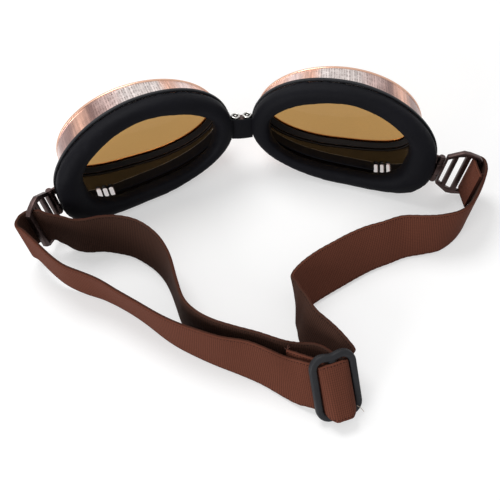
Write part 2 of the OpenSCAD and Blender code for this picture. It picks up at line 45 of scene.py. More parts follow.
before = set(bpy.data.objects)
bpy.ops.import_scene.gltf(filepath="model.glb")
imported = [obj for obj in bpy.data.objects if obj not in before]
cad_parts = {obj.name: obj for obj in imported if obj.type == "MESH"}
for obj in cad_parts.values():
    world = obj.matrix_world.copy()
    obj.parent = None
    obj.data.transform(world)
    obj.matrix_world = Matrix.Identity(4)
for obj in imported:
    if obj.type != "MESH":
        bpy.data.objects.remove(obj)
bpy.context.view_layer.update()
MM = 0.001

# Sizes of the frame that the finished pieces follow, in millimetres and degrees
PITCH, WRAP, DROOP = 11.0, 12.0, 5.0
PIN_GAP = 5.6
STAND_H = 28.439
HINGE_AT = (91.3, -10.4, -10.5)
HINGE_TILT = 8.5
SWING = {1: -3.0, -1: 53.0}
STRAP_W, STRAP_T = 21.4, 1.5
GATHER = 0.9
SLIDER_AT, SLIDER_TURN, SLIDER_LEAN = (23.0, -144.6), 12.0, 35.0
SLIDER_LIFT = 1.5 * math.sin(math.radians(SLIDER_LEAN))
BRACKET_LEN = 18.6
# The edge of the webbing waves a little: how far, and how often in a metre, as an angle
EDGE_RIPPLE, RIPPLE_RATE = 0.00006, 1900
EAR_TURN = 12.87
VENT_X, VENT_PITCH, VENT_LEN = 67.4, 2.9, 7.6
# The vent cutters' reach below and above the foot of the wall
VENT_LOW, VENT_HIGH = -1.5, 8.5

# Routes of the webbing. On the table a row is a point of the lower edge, then the sideways lean
# of the webbing and its slant along the route, in degrees.
RIGHT_RUN = (
    (98, -55, 0.8, 5, 0), (92, -62, 0.4, -1, 0), (84, -67.5, 0.5, -13, 0), (76, -69, 0.6, -18, 0),
    (67, -70, 0.7, -27, 0), (59, -72.5, 0.7, -30, 0), (51, -75, 0.7, -34, 0),
    (43, -78.5, 0.7, -36, 0), (36, -82, 0.7, -36, 0), (28, -86, 0.7, -37, 0),
    (20, -90.5, 0.7, -30, 0), (14, -95.5, 0.6, -22, -10), (11.4, -100, 0.6, -2, -24),
)
MIDDLE_RUN = (
    (11.2, -104, 0.6, 8, -16), (12.2, -108.5, 0.6, 17, -6), (15, -114.5, 0.6, 24, 0),
    (19.5, -121.5, 0.6, 24, 4), (24.3, -129, 0.6, 18, 8),
)
FRONT_RUN = (
    (-90, -65.5, 3.5, -10, 0), (-79, -72, 0.8, -7, 0), (-69, -77, 0.4, -9, 0),
    (-59.5, -84, 0.4, -11, 0), (-51, -92, 0.4, -9, 0), (-42, -102, 0.4, -4, 0),
    (-33, -109, 0.4, 1, 0), (-24, -115, 0.4, 5, 0), (-14, -121, 0.5, 13, 0), (-5, -127, 0.6, 14, 0),
)
BACK_RUN = (
    (-85, -47.5, 1.6, -1, 0), (-77, -50.5, 0.6, 6, 0), (-69, -51, 0.5, 11, 0), (-62, -53, 0.6, 16, 0),
    (-55, -56, 0.6, 16, 0), (-48, -62, 0.6, 13, 0), (-43, -68, 0.5, 8, 0), (-40, -76, 0.4, 3, 0),
    (-38, -85, 0.4, 1, 0), (-36, -94, 0.4, 1, 0), (-32, -101, 0.4, 3, 0), (-26, -107, 0.5, 6, 0),
    (-18, -112.5, 0.5, 10, 0), (-9, -117.5, 0.5, 13, 0), (0, -123, 0.6, 15, 0),
)
# Through the slider: along it, behind it and the height of the lower edge above its foot
TURN_ROUTE = (
    (5.9, 8, 5.6), (5.95, 4, 4.2), (6, 1, 3.8), (5.6, -1.9, 3.6), (3.6, -3.8, 3.6), (0, -4.2, 3.6),
    (-3.4, -3.9, 3.6), (-5.3, -2, 3.6), (-5.8, 0.4, 3.7), (-6.6, 2.7, 4), (-9, 4.2, 5),
    (-12, 6.7, 6), (-15.5, 9.8, 6.8),
)
TAIL_ROUTE = (
    (-9, 14.5, 9.2), (-4, 12.6, 8.6), (0.2, 9.6, 7), (2.6, 5.6, 5), (3.2, 1.6, 4), (2.4, -1.7, 3.6),
    (0, -2.5, 3.6), (-2.2, -1.7, 3.6), (-2.8, 0.8, 3.8), (-3.8, 3.6, 4.6), (-6.3, 5.8, 5.6),
    (-10.4, 8.9, 7.4), (-14.2, 12, 9),
)
# Round the brackets' outer bars: past the bracket's end and forward of it
RIGHT_LOOP = (
    (-2.6, -12.5), (-3.5, -5), (-3.7, 0), (-3, 2.1), (-1.1, 2.7), (0.9, 2), (1.7, -0.8), (1.4, -4.5),
    (0.4, -9),
)
LEFT_LOOP = (
    (-5.2, -7), (-4.4, -3.5), (-4, 0), (-3.1, 2.9), (-0.2, 4.8), (4, 4.4), (7.2, 1.2), (8.8, -4.5),
)
SIDE_NAMES = {1: "right", -1: "left"}


# Plain geometry of the cups


def oval(x0, width, down, up, mid, full):
    return (x0, x0 + width, mid[1] - down, mid[1] + up, mid[0], mid[1], full)


FLANGE = oval(2.4, 86.8, 23.4, 28.8, (45.9, -3.5), (1.87, 2.13, 1.95, 3.5))
PAD = oval(2.4, 86.8, 25.0, 28.8, (45.9, -3.5), (1.87, 2.13, 1.95, 3.5))
WALL = oval(4.4, 79.2, 18.6, 27.3, (43.8, -4.6), (1.97, 1.98, 2.0, 3.6))
BASE = oval(4.0, 80.0, 19.6, 27.7, (43.8, -4.6), (1.97, 1.98, 2.0, 3.6))
OPENING = (11.9, 75.5, -21.3, 18.0, 46.0, -0.5, (1.75, 1.7, 2.7, 3.4))


def oval_point(shape, turn, grow=0.0):
    """Point of an oval at an angle in degrees, moved outward by grow."""
    c, s = math.cos(math.radians(turn)), math.sin(math.radians(turn))
    quarter = (0 if c >= 0 else 1) if s >= 0 else (2 if c < 0 else 3)
    n = shape[6][quarter]
    rx = shape[1] - shape[4] if c >= 0 else shape[4] - shape[0]
    rz = shape[3] - shape[5] if s >= 0 else shape[5] - shape[2]
    px = shape[4] + math.copysign(rx * abs(c) ** (2 / n), c)
    pz = shape[5] + math.copysign(rz * abs(s) ** (2 / n), s)
    gx = math.copysign(abs(c) ** (2 - 2 / n) / rx, c)
    gz = math.copysign(abs(s) ** (2 - 2 / n) / rz, s)
    size = math.hypot(gx, gz)
    return px + grow * gx / size, pz + grow * gz / size


def flange_y(x):
    """Rear face of the flange, forward of the bridge pin, at a distance from the nose."""
    t = (x + 0.8) / 88.0
    return 2.2 - 12.5 * t + 7.6 * t * (1 - t)


def spin(p, axis, turn):
    return Matrix.Rotation(math.radians(turn), 3, axis) @ Vector(p)


def cup_turned(p):
    q = spin(spin(p, "Y", DROOP), "Z", -WRAP) + Vector((PIN_GAP / 2, 0, 0))
    return spin(q, "X", -PITCH)


def cup_point(side, p):
    """Point of a cup, outward, forward and up from its bridge pin, in the part frame."""
    q = cup_turned(p) + Vector((0, 0, STAND_H))
    return Vector((side * q.x, q.y, q.z)) * MM


def pin_point(side, p):
    """Point of a bridge pin's own frame, without the droop of the cup."""
    q = spin(spin(p, "Z", -WRAP) + Vector((PIN_GAP / 2, 0, 0)), "X", -PITCH)
    return Vector((side * q.x, q.y, q.z + STAND_H)) * MM


def bracket_point(side, s, f, h):
    """Point of a bracket, along it, forward of it and up."""
    q = spin(spin((s, f, h), "Z", -SWING[side]), "Y", HINGE_TILT) + Vector(HINGE_AT)
    return cup_point(side, q)


def slider_point(e, f, h):
    """Point of the slider, along it, behind it and up it."""
    q = spin(spin((e, f, h), "X", -SLIDER_LEAN), "Z", SLIDER_TURN)
    return (q + Vector((SLIDER_AT[0], SLIDER_AT[1], SLIDER_LIFT))) * MM


# Mesh helpers


def linked(name, data):
    """Adds an object to the scene."""
    made = bpy.data.objects.new(name, data)
    bpy.context.scene.collection.objects.link(made)
    return made


def mesh_object(name, bm):
    """Turns a bmesh into an object."""
    mesh = bpy.data.meshes.new(name)
    bm.to_mesh(mesh)
    bm.free()
    return linked(name, mesh)


def finish_mesh(name, bm, body, slot, look, sharp=45.0, solid=None):
    """Turns a bmesh into a piece with one finish, on its body and in place of a CAD solid."""
    bmesh.ops.recalc_face_normals(bm, faces=bm.faces)
    piece = mesh_object(name, bm)
    piece.data.materials.append(finish(look))
    for face in piece.data.polygons:
        face.use_smooth = True
    if sharp is not None:
        piece.data.set_sharp_from_angle(angle=math.radians(sharp))
    if body:
        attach(piece, body)
    if solid:
        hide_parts(solid)
    return piece


def loft(section, count, close_ring, chart=None):
    """Rings of the same number of vertices, each extruded from the one before.

    section(i, k) gives vertex k of ring i in metres. close_ring joins the last ring to the first,
    or closes both ends when it is "caps". chart(i, k) gives the UV of a vertex; it is asked for
    one ring and one vertex more than there are, where the surface closes on itself.
    """
    rings, around = count
    bm = bmesh.new()
    tag = bm.verts.layers.int.new("k")
    row = bm.verts.layers.int.new("i")
    start = bmesh.ops.create_circle(bm, segments=around, radius=1.0)["verts"]
    for k, v in enumerate(start):
        v[tag] = k
        v[row] = 0
        v.co = section(0, k)
    edges = list(bm.edges)
    first = edges
    for i in range(1, rings):
        out = bmesh.ops.extrude_edge_only(bm, edges=edges)["geom"]
        edges = [g for g in out if isinstance(g, bmesh.types.BMEdge)]
        for v in (g for g in out if isinstance(g, bmesh.types.BMVert)):
            v[row] = i
            v.co = section(i, v[tag])
    if close_ring is True:
        bmesh.ops.bridge_loops(bm, edges=first + edges)
    elif close_ring == "caps":
        bmesh.ops.holes_fill(bm, edges=first, sides=0)
        bmesh.ops.holes_fill(bm, edges=edges, sides=0)
    chart = chart or (lambda i, k: (k / around, i / rings))
    uv = bm.loops.layers.uv.new("UVMap")
    for face in bm.faces:
        ks = [loop.vert[tag] for loop in face.loops]
        rs = [loop.vert[row] for loop in face.loops]
        wrap_k = max(ks) - min(ks) > around / 2 and len(ks) == 4
        wrap_r = max(rs) - min(rs) > 1
        for loop, k, r in zip(face.loops, ks, rs):
            k = k + around if wrap_k and k < around / 2 else k
            r = r + rings if wrap_r and r < rings / 2 else r
            loop[uv].uv = chart(r, k)
    return bm


def cup_ring(side, name, rows, slot, look, solid, n):
    """Closed ring round a cup. A row is an oval, its growth, 1 to follow the flange, and depth."""
    word = SIDE_NAMES[side]

    def section(i, k):
        shape, grow, follow, depth = rows[i]
        x, z = oval_point(shape, 360.0 * k / n, grow)
        return cup_point(side, (x, follow * flange_y(x) + depth, z))

    outline = [Vector(oval_point(WALL, 360.0 * k / n)) for k in range(n + 1)]
    along = [0.0]
    for k in range(n):
        along.append(along[-1] + (outline[k + 1] - outline[k]).length)

    def chart(i, k):
        return along[k] / 10.0, rows[i % len(rows)][3] / 10.0

    bm = loft(section, (len(rows), n), True, chart)
    return finish_mesh(f"{word}_{name}", bm, word + "_cup", slot, look, 35.0, f"{word}_{solid}")


def thread(name, points, radius, body, around=8, look="brown thread", solid=None):
    """Thin round thread along points given in metres."""
    points = [Vector(p) for p in points]
    last = len(points) - 1

    def section(i, k):
        t = (points[min(i + 1, last)] - points[max(i - 1, 0)]).normalized()
        up = Vector((0, 0, 1)) if abs(t.z) < 0.9 else Vector((1, 0, 0))
        x = t.cross(up).normalized()
        y = t.cross(x)
        w = 2 * math.pi * k / around
        return points[i] + (x * math.cos(w) + y * math.sin(w)) * radius

    bm = loft(section, (last + 1, around), "caps")
    return finish_mesh(name, bm, body, "thread", look, 60.0, solid)


def round_edges(bm, edges, width, segments=3):
    bmesh.ops.bevel(
        bm, geom=edges, offset=width, offset_type="OFFSET", affect="EDGES", segments=segments,
        profile=0.5, material=-1, clamp_overlap=True,
    )


def from_node(name, solid, body, slot, look, width, segments):
    """Copy of a CAD node, merged and dissolved, with its edges rounded by a width in millimetres."""
    bm = bmesh.new()
    bm.from_mesh(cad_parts[solid].data)
    bmesh.ops.remove_doubles(bm, verts=bm.verts, dist=2e-6)
    bmesh.ops.dissolve_limit(bm, angle_limit=math.radians(3), verts=bm.verts, edges=bm.edges)
    least = math.radians(30)
    edges = [e for e in bm.edges if len(e.link_faces) == 2 and e.calc_face_angle(0) > least]
    round_edges(bm, edges, width * MM, segments)
    return finish_mesh(name, bm, body, slot, look, 40.0, solid)


def lathe(name, place, profile, body, slot, look, around, ring=False, solid=None):
    """Turned piece, or a turned ring. Its profile is radius and height, place gives the part frame."""

    def section(i, k):
        r, h = profile[i]
        r = max(r, 0.02)
        w = 2 * math.pi * k / around
        return place((r * math.cos(w), r * math.sin(w), h))

    bm = loft(section, (len(profile), around), True if ring else "caps")
    return finish_mesh(name, bm, body, slot, look, 35.0 if ring else 40.0, solid)


def slab(name, place, low, high, edge, body, look, solid=None):
    """Copper block with rounded edges, corners in millimetres in a frame given by place."""
    bm = bmesh.new()
    bmesh.ops.create_cube(bm, size=1.0)
    low, high = Vector(low), Vector(high)
    for v in bm.verts:
        v.co = Vector((low[j] + (high[j] - low[j]) * (v.co[j] + 0.5) for j in range(3)))
    round_edges(bm, list(bm.edges), edge)
    for v in bm.verts:
        v.co = place(v.co)
    return finish_mesh(name, bm, body, "copper", look, 50.0, solid)


def bake(piece):
    """Applies every modifier of a piece."""
    bpy.context.view_layer.update()
    graph = bpy.context.evaluated_depsgraph_get()
    mesh = bpy.data.meshes.new_from_object(piece.evaluated_get(graph))
    piece.modifiers.clear()
    piece.data = mesh


def cut(piece, cutters):
    """Takes the cutters out of a piece and removes them."""
    for cutter in cutters:
        modifier = piece.modifiers.new("cut", "BOOLEAN")
        modifier.operation = "DIFFERENCE"
        modifier.solver = "EXACT"
        modifier.object = cutter
    bake(piece)
    for cutter in cutters:
        bpy.data.objects.remove(cutter)


# Materials


def join(tree, value, socket):
    """Joins a socket to another, or sets it to a number, a vector or a colour."""
    if isinstance(value, bpy.types.NodeSocket):
        tree.links.new(value, socket)
    elif socket.type == "RGBA":
        socket.default_value = (*value, 1.0)
    else:
        socket.default_value = value


def node(tree, kind, inputs=None, **settings):
    """Adds a node with its settings, then joins or sets its inputs."""
    made = tree.nodes.new(kind)
    for key, value in settings.items():
        setattr(made, key, value)
    for key, value in (inputs or {}).items():
        join(tree, value, made.inputs[key])
    return made


def maths(tree, operation, *values):
    return node(tree, "ShaderNodeMath", dict(enumerate(values)), operation=operation).outputs["Value"]


def noise(tree, vector, scale, detail, roughness=0.5):
    inputs = {"Vector": vector, "Scale": scale, "Detail": detail, "Roughness": roughness}
    return node(tree, "ShaderNodeTexNoise", inputs).outputs["Fac"]


def mapped(tree, vector, scale, turn=(0.0, 0.0, 0.0)):
    inputs = {"Vector": vector, "Rotation": turn, "Scale": scale}
    return node(tree, "ShaderNodeMapping", inputs).outputs["Vector"]


def spread(tree, value, low, high, start=0.0, end=1.0):
    """Stretches start to end of a value over low to high."""
    inputs = {"Value": value, "From Min": start, "From Max": end, "To Min": low, "To Max": high}
    return node(tree, "ShaderNodeMapRange", inputs, clamp=True).outputs["Result"]


def mask(tree, value, start, end):
    """0 below start, 1 above end."""
    return spread(tree, value, 0.0, 1.0, start, end)


def mixed_colour(tree, factor, a, b, mode="MIX"):
    inputs = {"Factor": factor, "A": a, "B": b}
    return node(tree, "ShaderNodeMix", inputs, data_type="RGBA", blend_type=mode).outputs["Result"]


def ramp(tree, factor, stops):
    """Smooth run of tones. A stop is a place from 0 to 1 and a colour."""
    made = node(tree, "ShaderNodeValToRGB", {"Fac": factor})
    made.color_ramp.interpolation = "EASE"
    elements = made.color_ramp.elements
    while len(elements) < len(stops):
        elements.new(1.0)
    for element, (place, tone) in zip(elements, stops):
        element.position = place
        element.color = (*tone, 1.0)
    return made.outputs["Color"]


def bumped(tree, height, strength, depth, before=None):
    """Bump with a depth in millimetres, on top of another one where it is given."""
    inputs = {"Height": height, "Strength": strength, "Distance": depth * MM}
    if before is not None:
        inputs["Normal"] = before
    return node(tree, "ShaderNodeBump", inputs).outputs["Normal"]


def uv_parts(tree):
    chart = node(tree, "ShaderNodeUVMap", uv_map="UVMap").outputs["UV"]
    parts = node(tree, "ShaderNodeSeparateXYZ", {"Vector": chart}).outputs
    return chart, parts["X"], parts["Y"]


def effect(name, inputs, outputs, fill):
    """Node group that is built once. fill gives the sockets that its outputs are joined to."""
    tree = bpy.data.node_groups.get(name)
    if tree is None:
        tree = bpy.data.node_groups.new(name, "ShaderNodeTree")
        for label, value in inputs:
            made = tree.interface.new_socket(name=label, in_out="INPUT", socket_type="NodeSocketFloat")
            made.default_value = value
        for label in outputs:
            tree.interface.new_socket(name=label, in_out="OUTPUT", socket_type="NodeSocketFloat")
        enter, leave = node(tree, "NodeGroupInput").outputs, node(tree, "NodeGroupOutput").inputs
        for label, value in zip(outputs, fill(tree, enter)):
            tree.links.new(value, leave[label])
    return tree


def placed(tree, group, **values):
    """Outputs of a node group placed in a material with its own values."""
    inputs = {key.replace("_", " "): value for key, value in values.items()}
    return node(tree, "ShaderNodeGroup", inputs, node_tree=group).outputs


def grain_group():
    """Patches, Grain and Scratches on Object coordinates, each 0 to 1."""

    def fill(tree, enter):
        where = node(tree, "ShaderNodeTexCoord").outputs["Object"]
        patches = noise(tree, where, enter["Patch Scale"], 4.0, 0.6)
        grain = noise(tree, where, enter["Grain Scale"], 3.0, 0.6)
        lines = noise(tree, mapped(tree, where, (40.0, 900.0, 900.0), (0.4, 0.3, 0.7)), 1.0, 2.0)
        return mask(tree, patches, 0.3, 0.7), mask(tree, grain, 0.3, 0.7), mask(tree, lines, 0.62, 0.72)

    inputs = (("Patch Scale", 60.0), ("Grain Scale", 900.0))
    return effect("surface grain", inputs, ("Patches", "Grain", "Scratches"), fill)


def plating_group():
    """Marks that run round a cup on its UV map, in centimetres: U round the wall, V across it.

    Place goes from 0 to 1 round the cup and sets where the side wall's painted reflections fall, Lines is a
    fine crossed hatch and Streaks run across.
    """

    def fill(tree, enter):
        chart, along, across = uv_parts(tree)

        def do(operation, *values):
            return maths(tree, operation, *values)

        def marks(scale_along, scale_across, detail):
            return noise(tree, mapped(tree, chart, (scale_along, scale_across, 1.0)), 1.0, detail)

        wander = do("MULTIPLY", do("SUBTRACT", marks(2.5, 1.2, 2.0), 0.5), enter["Wander"])
        ribs = []
        for part, pitch in ((along, 1.0), (across, 1.3)):
            turn = do("MULTIPLY", part, enter["Ribs Per Centimetre"])
            wave = do("SINE", do("MULTIPLY", turn, 2 * math.pi * pitch))
            ribs.append(do("ADD", do("MULTIPLY", wave, 0.5), 0.5))
        crossed = do("MULTIPLY", ribs[0], do("ADD", do("MULTIPLY", ribs[1], 0.6), 0.4))
        broken = do("MULTIPLY", do("SUBTRACT", marks(4.0, 7.0, 2.0), 0.36), 3.2)
        kept = do("MINIMUM", do("MAXIMUM", broken, 0.0), 1.0)
        return (
            do("ADD", do("DIVIDE", along, enter["Round Length"]), wander),
            do("MULTIPLY", crossed, kept),
            mask(tree, marks(9.0, 0.8, 3.0), 0.35, 0.65),
        )

    inputs = (("Round Length", 20.4), ("Ribs Per Centimetre", 8.5), ("Wander", 0.03))
    return effect("cup plating", inputs, ("Place", "Lines", "Streaks"), fill)


def webbing_group():
    """Woven elastic on the strap's UV map: U runs across the width, V along it in centimetres."""

    def fill(tree, enter):
        across, along = uv_parts(tree)[1:]

        def do(operation, *values):
            return maths(tree, operation, *values)

        column = do("MULTIPLY", across, enter["Columns"])
        pick = do("MULTIPLY", along, enter["Picks"])
        rib = do("ABSOLUTE", do("SINE", do("MULTIPLY", pick, math.pi)))
        yarn = do("ABSOLUTE", do("SINE", do("MULTIPLY", column, math.pi)))
        edge = do("ABSOLUTE", do("SUBTRACT", across, 0.5))
        dot = do("GREATER_THAN", do("SINE", do("MULTIPLY", along, 2 * math.pi * 7.5)), 0.3)
        line = do("MULTIPLY", do("GREATER_THAN", edge, 0.447), do("LESS_THAN", edge, 0.468))
        return (
            do("ADD", do("MULTIPLY", rib, 0.7), do("MULTIPLY", yarn, 0.3)),
            # Mask of the band along each edge that carries the painted edge highlight.
            do("GREATER_THAN", edge, 0.468),
            do("MULTIPLY", dot, line),
        )

    inputs = (("Columns", 26.0), ("Picks", 12.0))
    return effect("elastic weave", inputs, ("Weave", "Edge Highlight", "Dots"), fill)


def started(name, patch_scale, grain_scale):
    """New material, its tree and the outputs of its grain."""
    material = bpy.data.materials.new(name)
    material.use_nodes = True
    tree = material.node_tree
    return material, tree, placed(tree, grain_group(), Patch_Scale=patch_scale, Grain_Scale=grain_scale)


def dressed(material, values):
    """Joins or sets the sockets of a material's shader."""
    tree = material.node_tree
    for key, value in values.items():
        join(tree, value, tree.nodes["Principled BSDF"].inputs[key])
    return material


def toned(colour, k):
    return tuple(c * k for c in colour)


def between(a, b, k):
    """Sum of two colours times k, so half and half at 0.5."""
    return tuple(k * (p + q) for p, q in zip(a, b))


def metal(name, dark, light, rough):
    """Plated metal with patches of tone and fine grain."""
    material, tree, grain = started(name, 90.0, 1600.0)
    return dressed(material, {
        "Base Color": mixed_colour(tree, grain["Patches"], dark, light),
        "Roughness": spread(tree, grain["Grain"], *rough),
        "Metallic": 1.0,
        "Normal": bumped(tree, grain["Scratches"], 0.25, 0.02),
    })


def plated_wall_and_reflections(name, dark, light):
    """Copper plating round the side wall. Its tone round the wall is painted reflection: a pale hatched
    stretch near the top is a painted highlight of a lamp, light and blush stretches are painted glints and
    dark stretches are painted reflections of dark surroundings, over some tone of the plating itself.
    """
    material, tree, grain = started(name, 160.0, 1500.0)
    marks = placed(tree, plating_group())
    # Tones round the wall: blush and light are painted glints, pale is a painted highlight of a lamp, and
    # the dark stops are painted reflections of dark surroundings.
    blush = tuple(min(1.0, c * k) for c, k in zip(light, (1.0, 1.35, 1.7)))
    pale = tuple(0.25 * c + 0.62 for c in light)
    stops = (
        (0.0, blush), (0.05, toned(dark, 1.3)), (0.09, dark), (0.125, light), (0.155, dark),
        (0.2, between(dark, blush, 0.55)), (0.245, pale), (0.315, pale), (0.34, light), (0.38, blush),
        (0.425, light), (0.5, toned(dark, 1.2)), (0.62, light), (0.75, dark),
        (0.9, between(dark, light, 0.5)), (1.0, blush),
    )
    # The hatch shows only across the stretch of the painted highlight.
    hatched = ((0.13, (0, 0, 0)), (0.18, (1, 1, 1)), (0.32, (1, 1, 1)), (0.36, (0.1, 0.1, 0.1)))
    lines = maths(tree, "MULTIPLY", ramp(tree, marks["Place"], hatched), marks["Lines"])
    tone = mixed_colour(tree, lines, ramp(tree, marks["Place"], stops), toned(dark, 0.55))
    for marked, low, high in ((marks["Streaks"], 0.72, 1.12), (grain["Patches"], 0.85, 1.05)):
        tone = mixed_colour(tree, 1.0, tone, spread(tree, marked, low, high), "MULTIPLY")
    scratched = bumped(tree, grain["Scratches"], 0.2, 0.02)
    return dressed(material, {
        "Base Color": tone,
        "Roughness": spread(tree, grain["Grain"], 0.2, 0.4),
        "Metallic": 1.0,
        "Normal": bumped(tree, lines, 0.35, 0.06, scratched),
    })


def glossy_plastic(name, dark, light, rough, coat=0.0, shine=0.5):
    material, tree, grain = started(name, 70.0, 1400.0)
    return dressed(material, {
        "Base Color": mixed_colour(tree, grain["Patches"], dark, light),
        "Roughness": spread(tree, grain["Grain"], *rough),
        "Specular IOR Level": shine,
        "Coat Weight": coat,
        "Coat Roughness": 0.08,
        "Normal": bumped(tree, grain["Grain"], 0.08, 0.02),
    })


def amber_glass(name, tint):
    material, tree, grain = started(name, 25.0, 400.0)
    light = tuple(min(1.0, c * 1.04) for c in tint)
    return dressed(material, {
        "Base Color": mixed_colour(tree, grain["Patches"], tint, light),
        "Roughness": 0.02,
        "IOR": 1.2,
        "Transmission Weight": 1.0,
    })


def knit(name, dark, light):
    """Smooth black jersey over foam, with a very fine knit."""
    material, tree, grain = started(name, 50.0, 2600.0)
    return dressed(material, {
        "Base Color": mixed_colour(tree, grain["Patches"], dark, light),
        "Roughness": 0.62,
        "Specular IOR Level": 0.08,
        "Normal": bumped(tree, grain["Grain"], 0.25, 0.04),
    })


def webbing(name, dark, light):
    """Ribbed elastic with worn specks, a band of even tone along each edge that is a painted highlight of
    the lit edge, and a faint row of stitches along each edge.
    """
    material, tree, grain = started(name, 120.0, 2200.0)
    weave = placed(tree, webbing_group())
    tone = mixed_colour(tree, weave["Weave"], dark, light)
    tone = mixed_colour(tree, 0.35, tone, spread(tree, grain["Grain"], 0.55, 1.15), "MULTIPLY")
    # An even band along each edge is a painted highlight of the lit edge.
    tone = mixed_colour(tree, weave["Edge Highlight"], tone, toned(light, 0.75))
    tone = mixed_colour(tree, maths(tree, "MULTIPLY", weave["Dots"], 0.85), tone, toned(dark, 0.4))
    return dressed(material, {
        "Base Color": tone,
        "Roughness": 0.9,
        "Specular IOR Level": 0.15,
        "Normal": bumped(tree, weave["Weave"], 0.5, 0.12),
    })


def finish(name):
    """A finish by its name, made once and then used again."""
    made = bpy.data.materials.get(name)
    if made:
        return made
    c = bpy.context.scene.goggles_colours
    recipes = {
        "copper": (metal, c.copper_dark, c.copper_light, (0.2, 0.42)),
        "plated copper wall": (plated_wall_and_reflections, c.copper_dark, c.copper_light),
        "dark copper": (metal, toned(c.bracket, 0.55), c.bracket, (0.28, 0.5)),
        "bright steel": (metal, toned(c.steel, 0.6), c.steel, (0.12, 0.35)),
        "brown liner": (glossy_plastic, toned(c.liner, 0.6), c.liner, (0.16, 0.24), 0.1, 0.3),
        "brown seal": (glossy_plastic, toned(c.liner, 0.7), toned(c.liner, 1.3), (0.45, 0.6), 0.0, 0.2),
        # Lighter colour of the sleeve's seam, a painted highlight.
        "pad trim": (glossy_plastic, (0.05, 0.045, 0.04), (0.2, 0.18, 0.16), (0.2, 0.35), 0.2, 0.6),
        "black gasket": (
            glossy_plastic, (0.006, 0.005, 0.005), (0.014, 0.011, 0.01), (0.35, 0.5), 0.0, 0.2,
        ),
        "slider black": (
            glossy_plastic, (0.01, 0.01, 0.012), (0.02, 0.021, 0.024), (0.45, 0.6), 0.0, 0.2,
        ),
        "amber lens": (amber_glass, c.lens),
        "black jersey": (knit, toned(c.pad, 0.7), c.pad),
        "brown webbing": (webbing, c.webbing_dark, c.webbing_light),
        # Darker inner face: partly painted shade of faces turned from the light, partly a darker back of the
        # webbing.
        "inner webbing": (webbing, c.inner_dark, c.inner_light),
        "webbing edge": (webbing, toned(c.webbing_dark, 0.5), toned(c.webbing_light, 0.5)),
        "brown thread": (glossy_plastic, toned(c.webbing_light, 0.5), c.webbing_light, (0.6, 0.8)),
        "pale thread": (glossy_plastic, (0.3, 0.24, 0.18), (0.5, 0.42, 0.34), (0.6, 0.8)),
    }
    make, *values = recipes[name]
    return make(name, *values)


# Cups. In these tables a row of a ring is its growth from the wall's oval and its depth forward,
# and a row of a turned piece is its radius and its height, all in millimetres.

BEZEL_ROWS = (
    (0.0, 13.05), (0.25, 13.6), (0.1, 14.4), (-0.9, 15.72), (-2.2, 16.72), (-3.6, 17.0), (-4.9, 16.8),
    (-4.9, 16.1), (-2.15, 16.1), (-2.15, 13.05),
)
RIDGE_ROWS = ((-2.2, 11.0), (-2.62, 11.15), (-2.62, 11.4), (-2.2, 11.5))
SLEEVE_ROWS = ((-2.3, 0.3), (-2.3, 6.2), (-2.9, 6.2), (-3.0, 5.9), (-3.0, 0.3))
SEAM_ROWS = ((-2.3, 6.25), (-2.3, 6.6), (-2.85, 6.6), (-2.85, 6.25))
GASKET_ROWS = ((-2.2, 13.05), (-2.2, 14.0), (-4.9, 14.0), (-4.9, 13.75), (-2.7, 13.2), (-2.5, 13.05))
SEAL_LINE_ROWS = ((-4.45, 13.5), (-4.45, 13.8), (-4.96, 14.0), (-4.96, 13.62))
LENS_ROWS = ((-2.45, 14.05), (-2.2, 14.25), (-2.2, 15.85), (-2.45, 16.05))
NOSE_EYE = (
    (0.97, -8.15), (1.05, -8.2), (1.7, -8.2), (1.9, -8.0), (1.9, -2.5), (1.7, -2.3), (1.05, -2.3),
    (0.97, -2.35),
)
NOSE_BLOCKS = (("arm", (-0.8, 2.25, -8.1), (5.4, 3.35, -2.4)), ("neck", (-0.8, 1.2, -8.1), (1.8, 3.3, -2.4)))
KNUCKLE = (
    (0.82, -1.75), (0.9, -1.8), (1.55, -1.8), (1.7, -1.6), (1.7, 1.6), (1.55, 1.8), (0.9, 1.8),
    (0.82, 1.75),
)
KNUCKLE_AT, EAR_HALF = 5.05, 1.75
FRONT_OF_WALL, LINER_GROW, LINER_DEEP = 13.0, (-1.25, -2.25), (0.05, 12.95)


def oval_between(a, b, t):
    full = tuple(p + (q - p) * t for p, q in zip(a[6], b[6]))
    return tuple(p + (q - p) * t for p, q in zip(a[:6], b[:6])) + (full,)


def eased(rows, reach, steps=3):
    """Rounds the corners of a closed profile of rows that share one oval."""
    out = []
    for k, row in enumerate(rows):
        here = Vector((row[1], row[3]))
        ends = []
        for other in (rows[k - 1], rows[(k + 1) % len(rows)]):
            way = Vector((other[1], other[3])) - here
            ends.append(here + way.normalized() * min(reach, way.length * 0.45))
        for s in range(steps + 1):
            t = s / steps
            p = ends[0] * (1 - t) ** 2 + here * 2 * t * (1 - t) + ends[1] * t * t
            out.append((row[0], p.x, row[2], p.y))
    return out


def on_wall(rows, reach, follow=0, shape=WALL):
    """Rounded profile on one oval from pairs of growth and depth."""
    return eased([(shape, grow, follow, depth) for grow, depth in rows], reach)


def wall_rows(grow, bottom, top, count):
    """Rows up the slope of the side wall, from the flange to its front edge."""
    rows = []
    for k in range(count + 1):
        t = k / count
        rows.append((oval_between(BASE, WALL, t), grow, 1 - t, bottom * (1 - t) + top * t))
    return rows


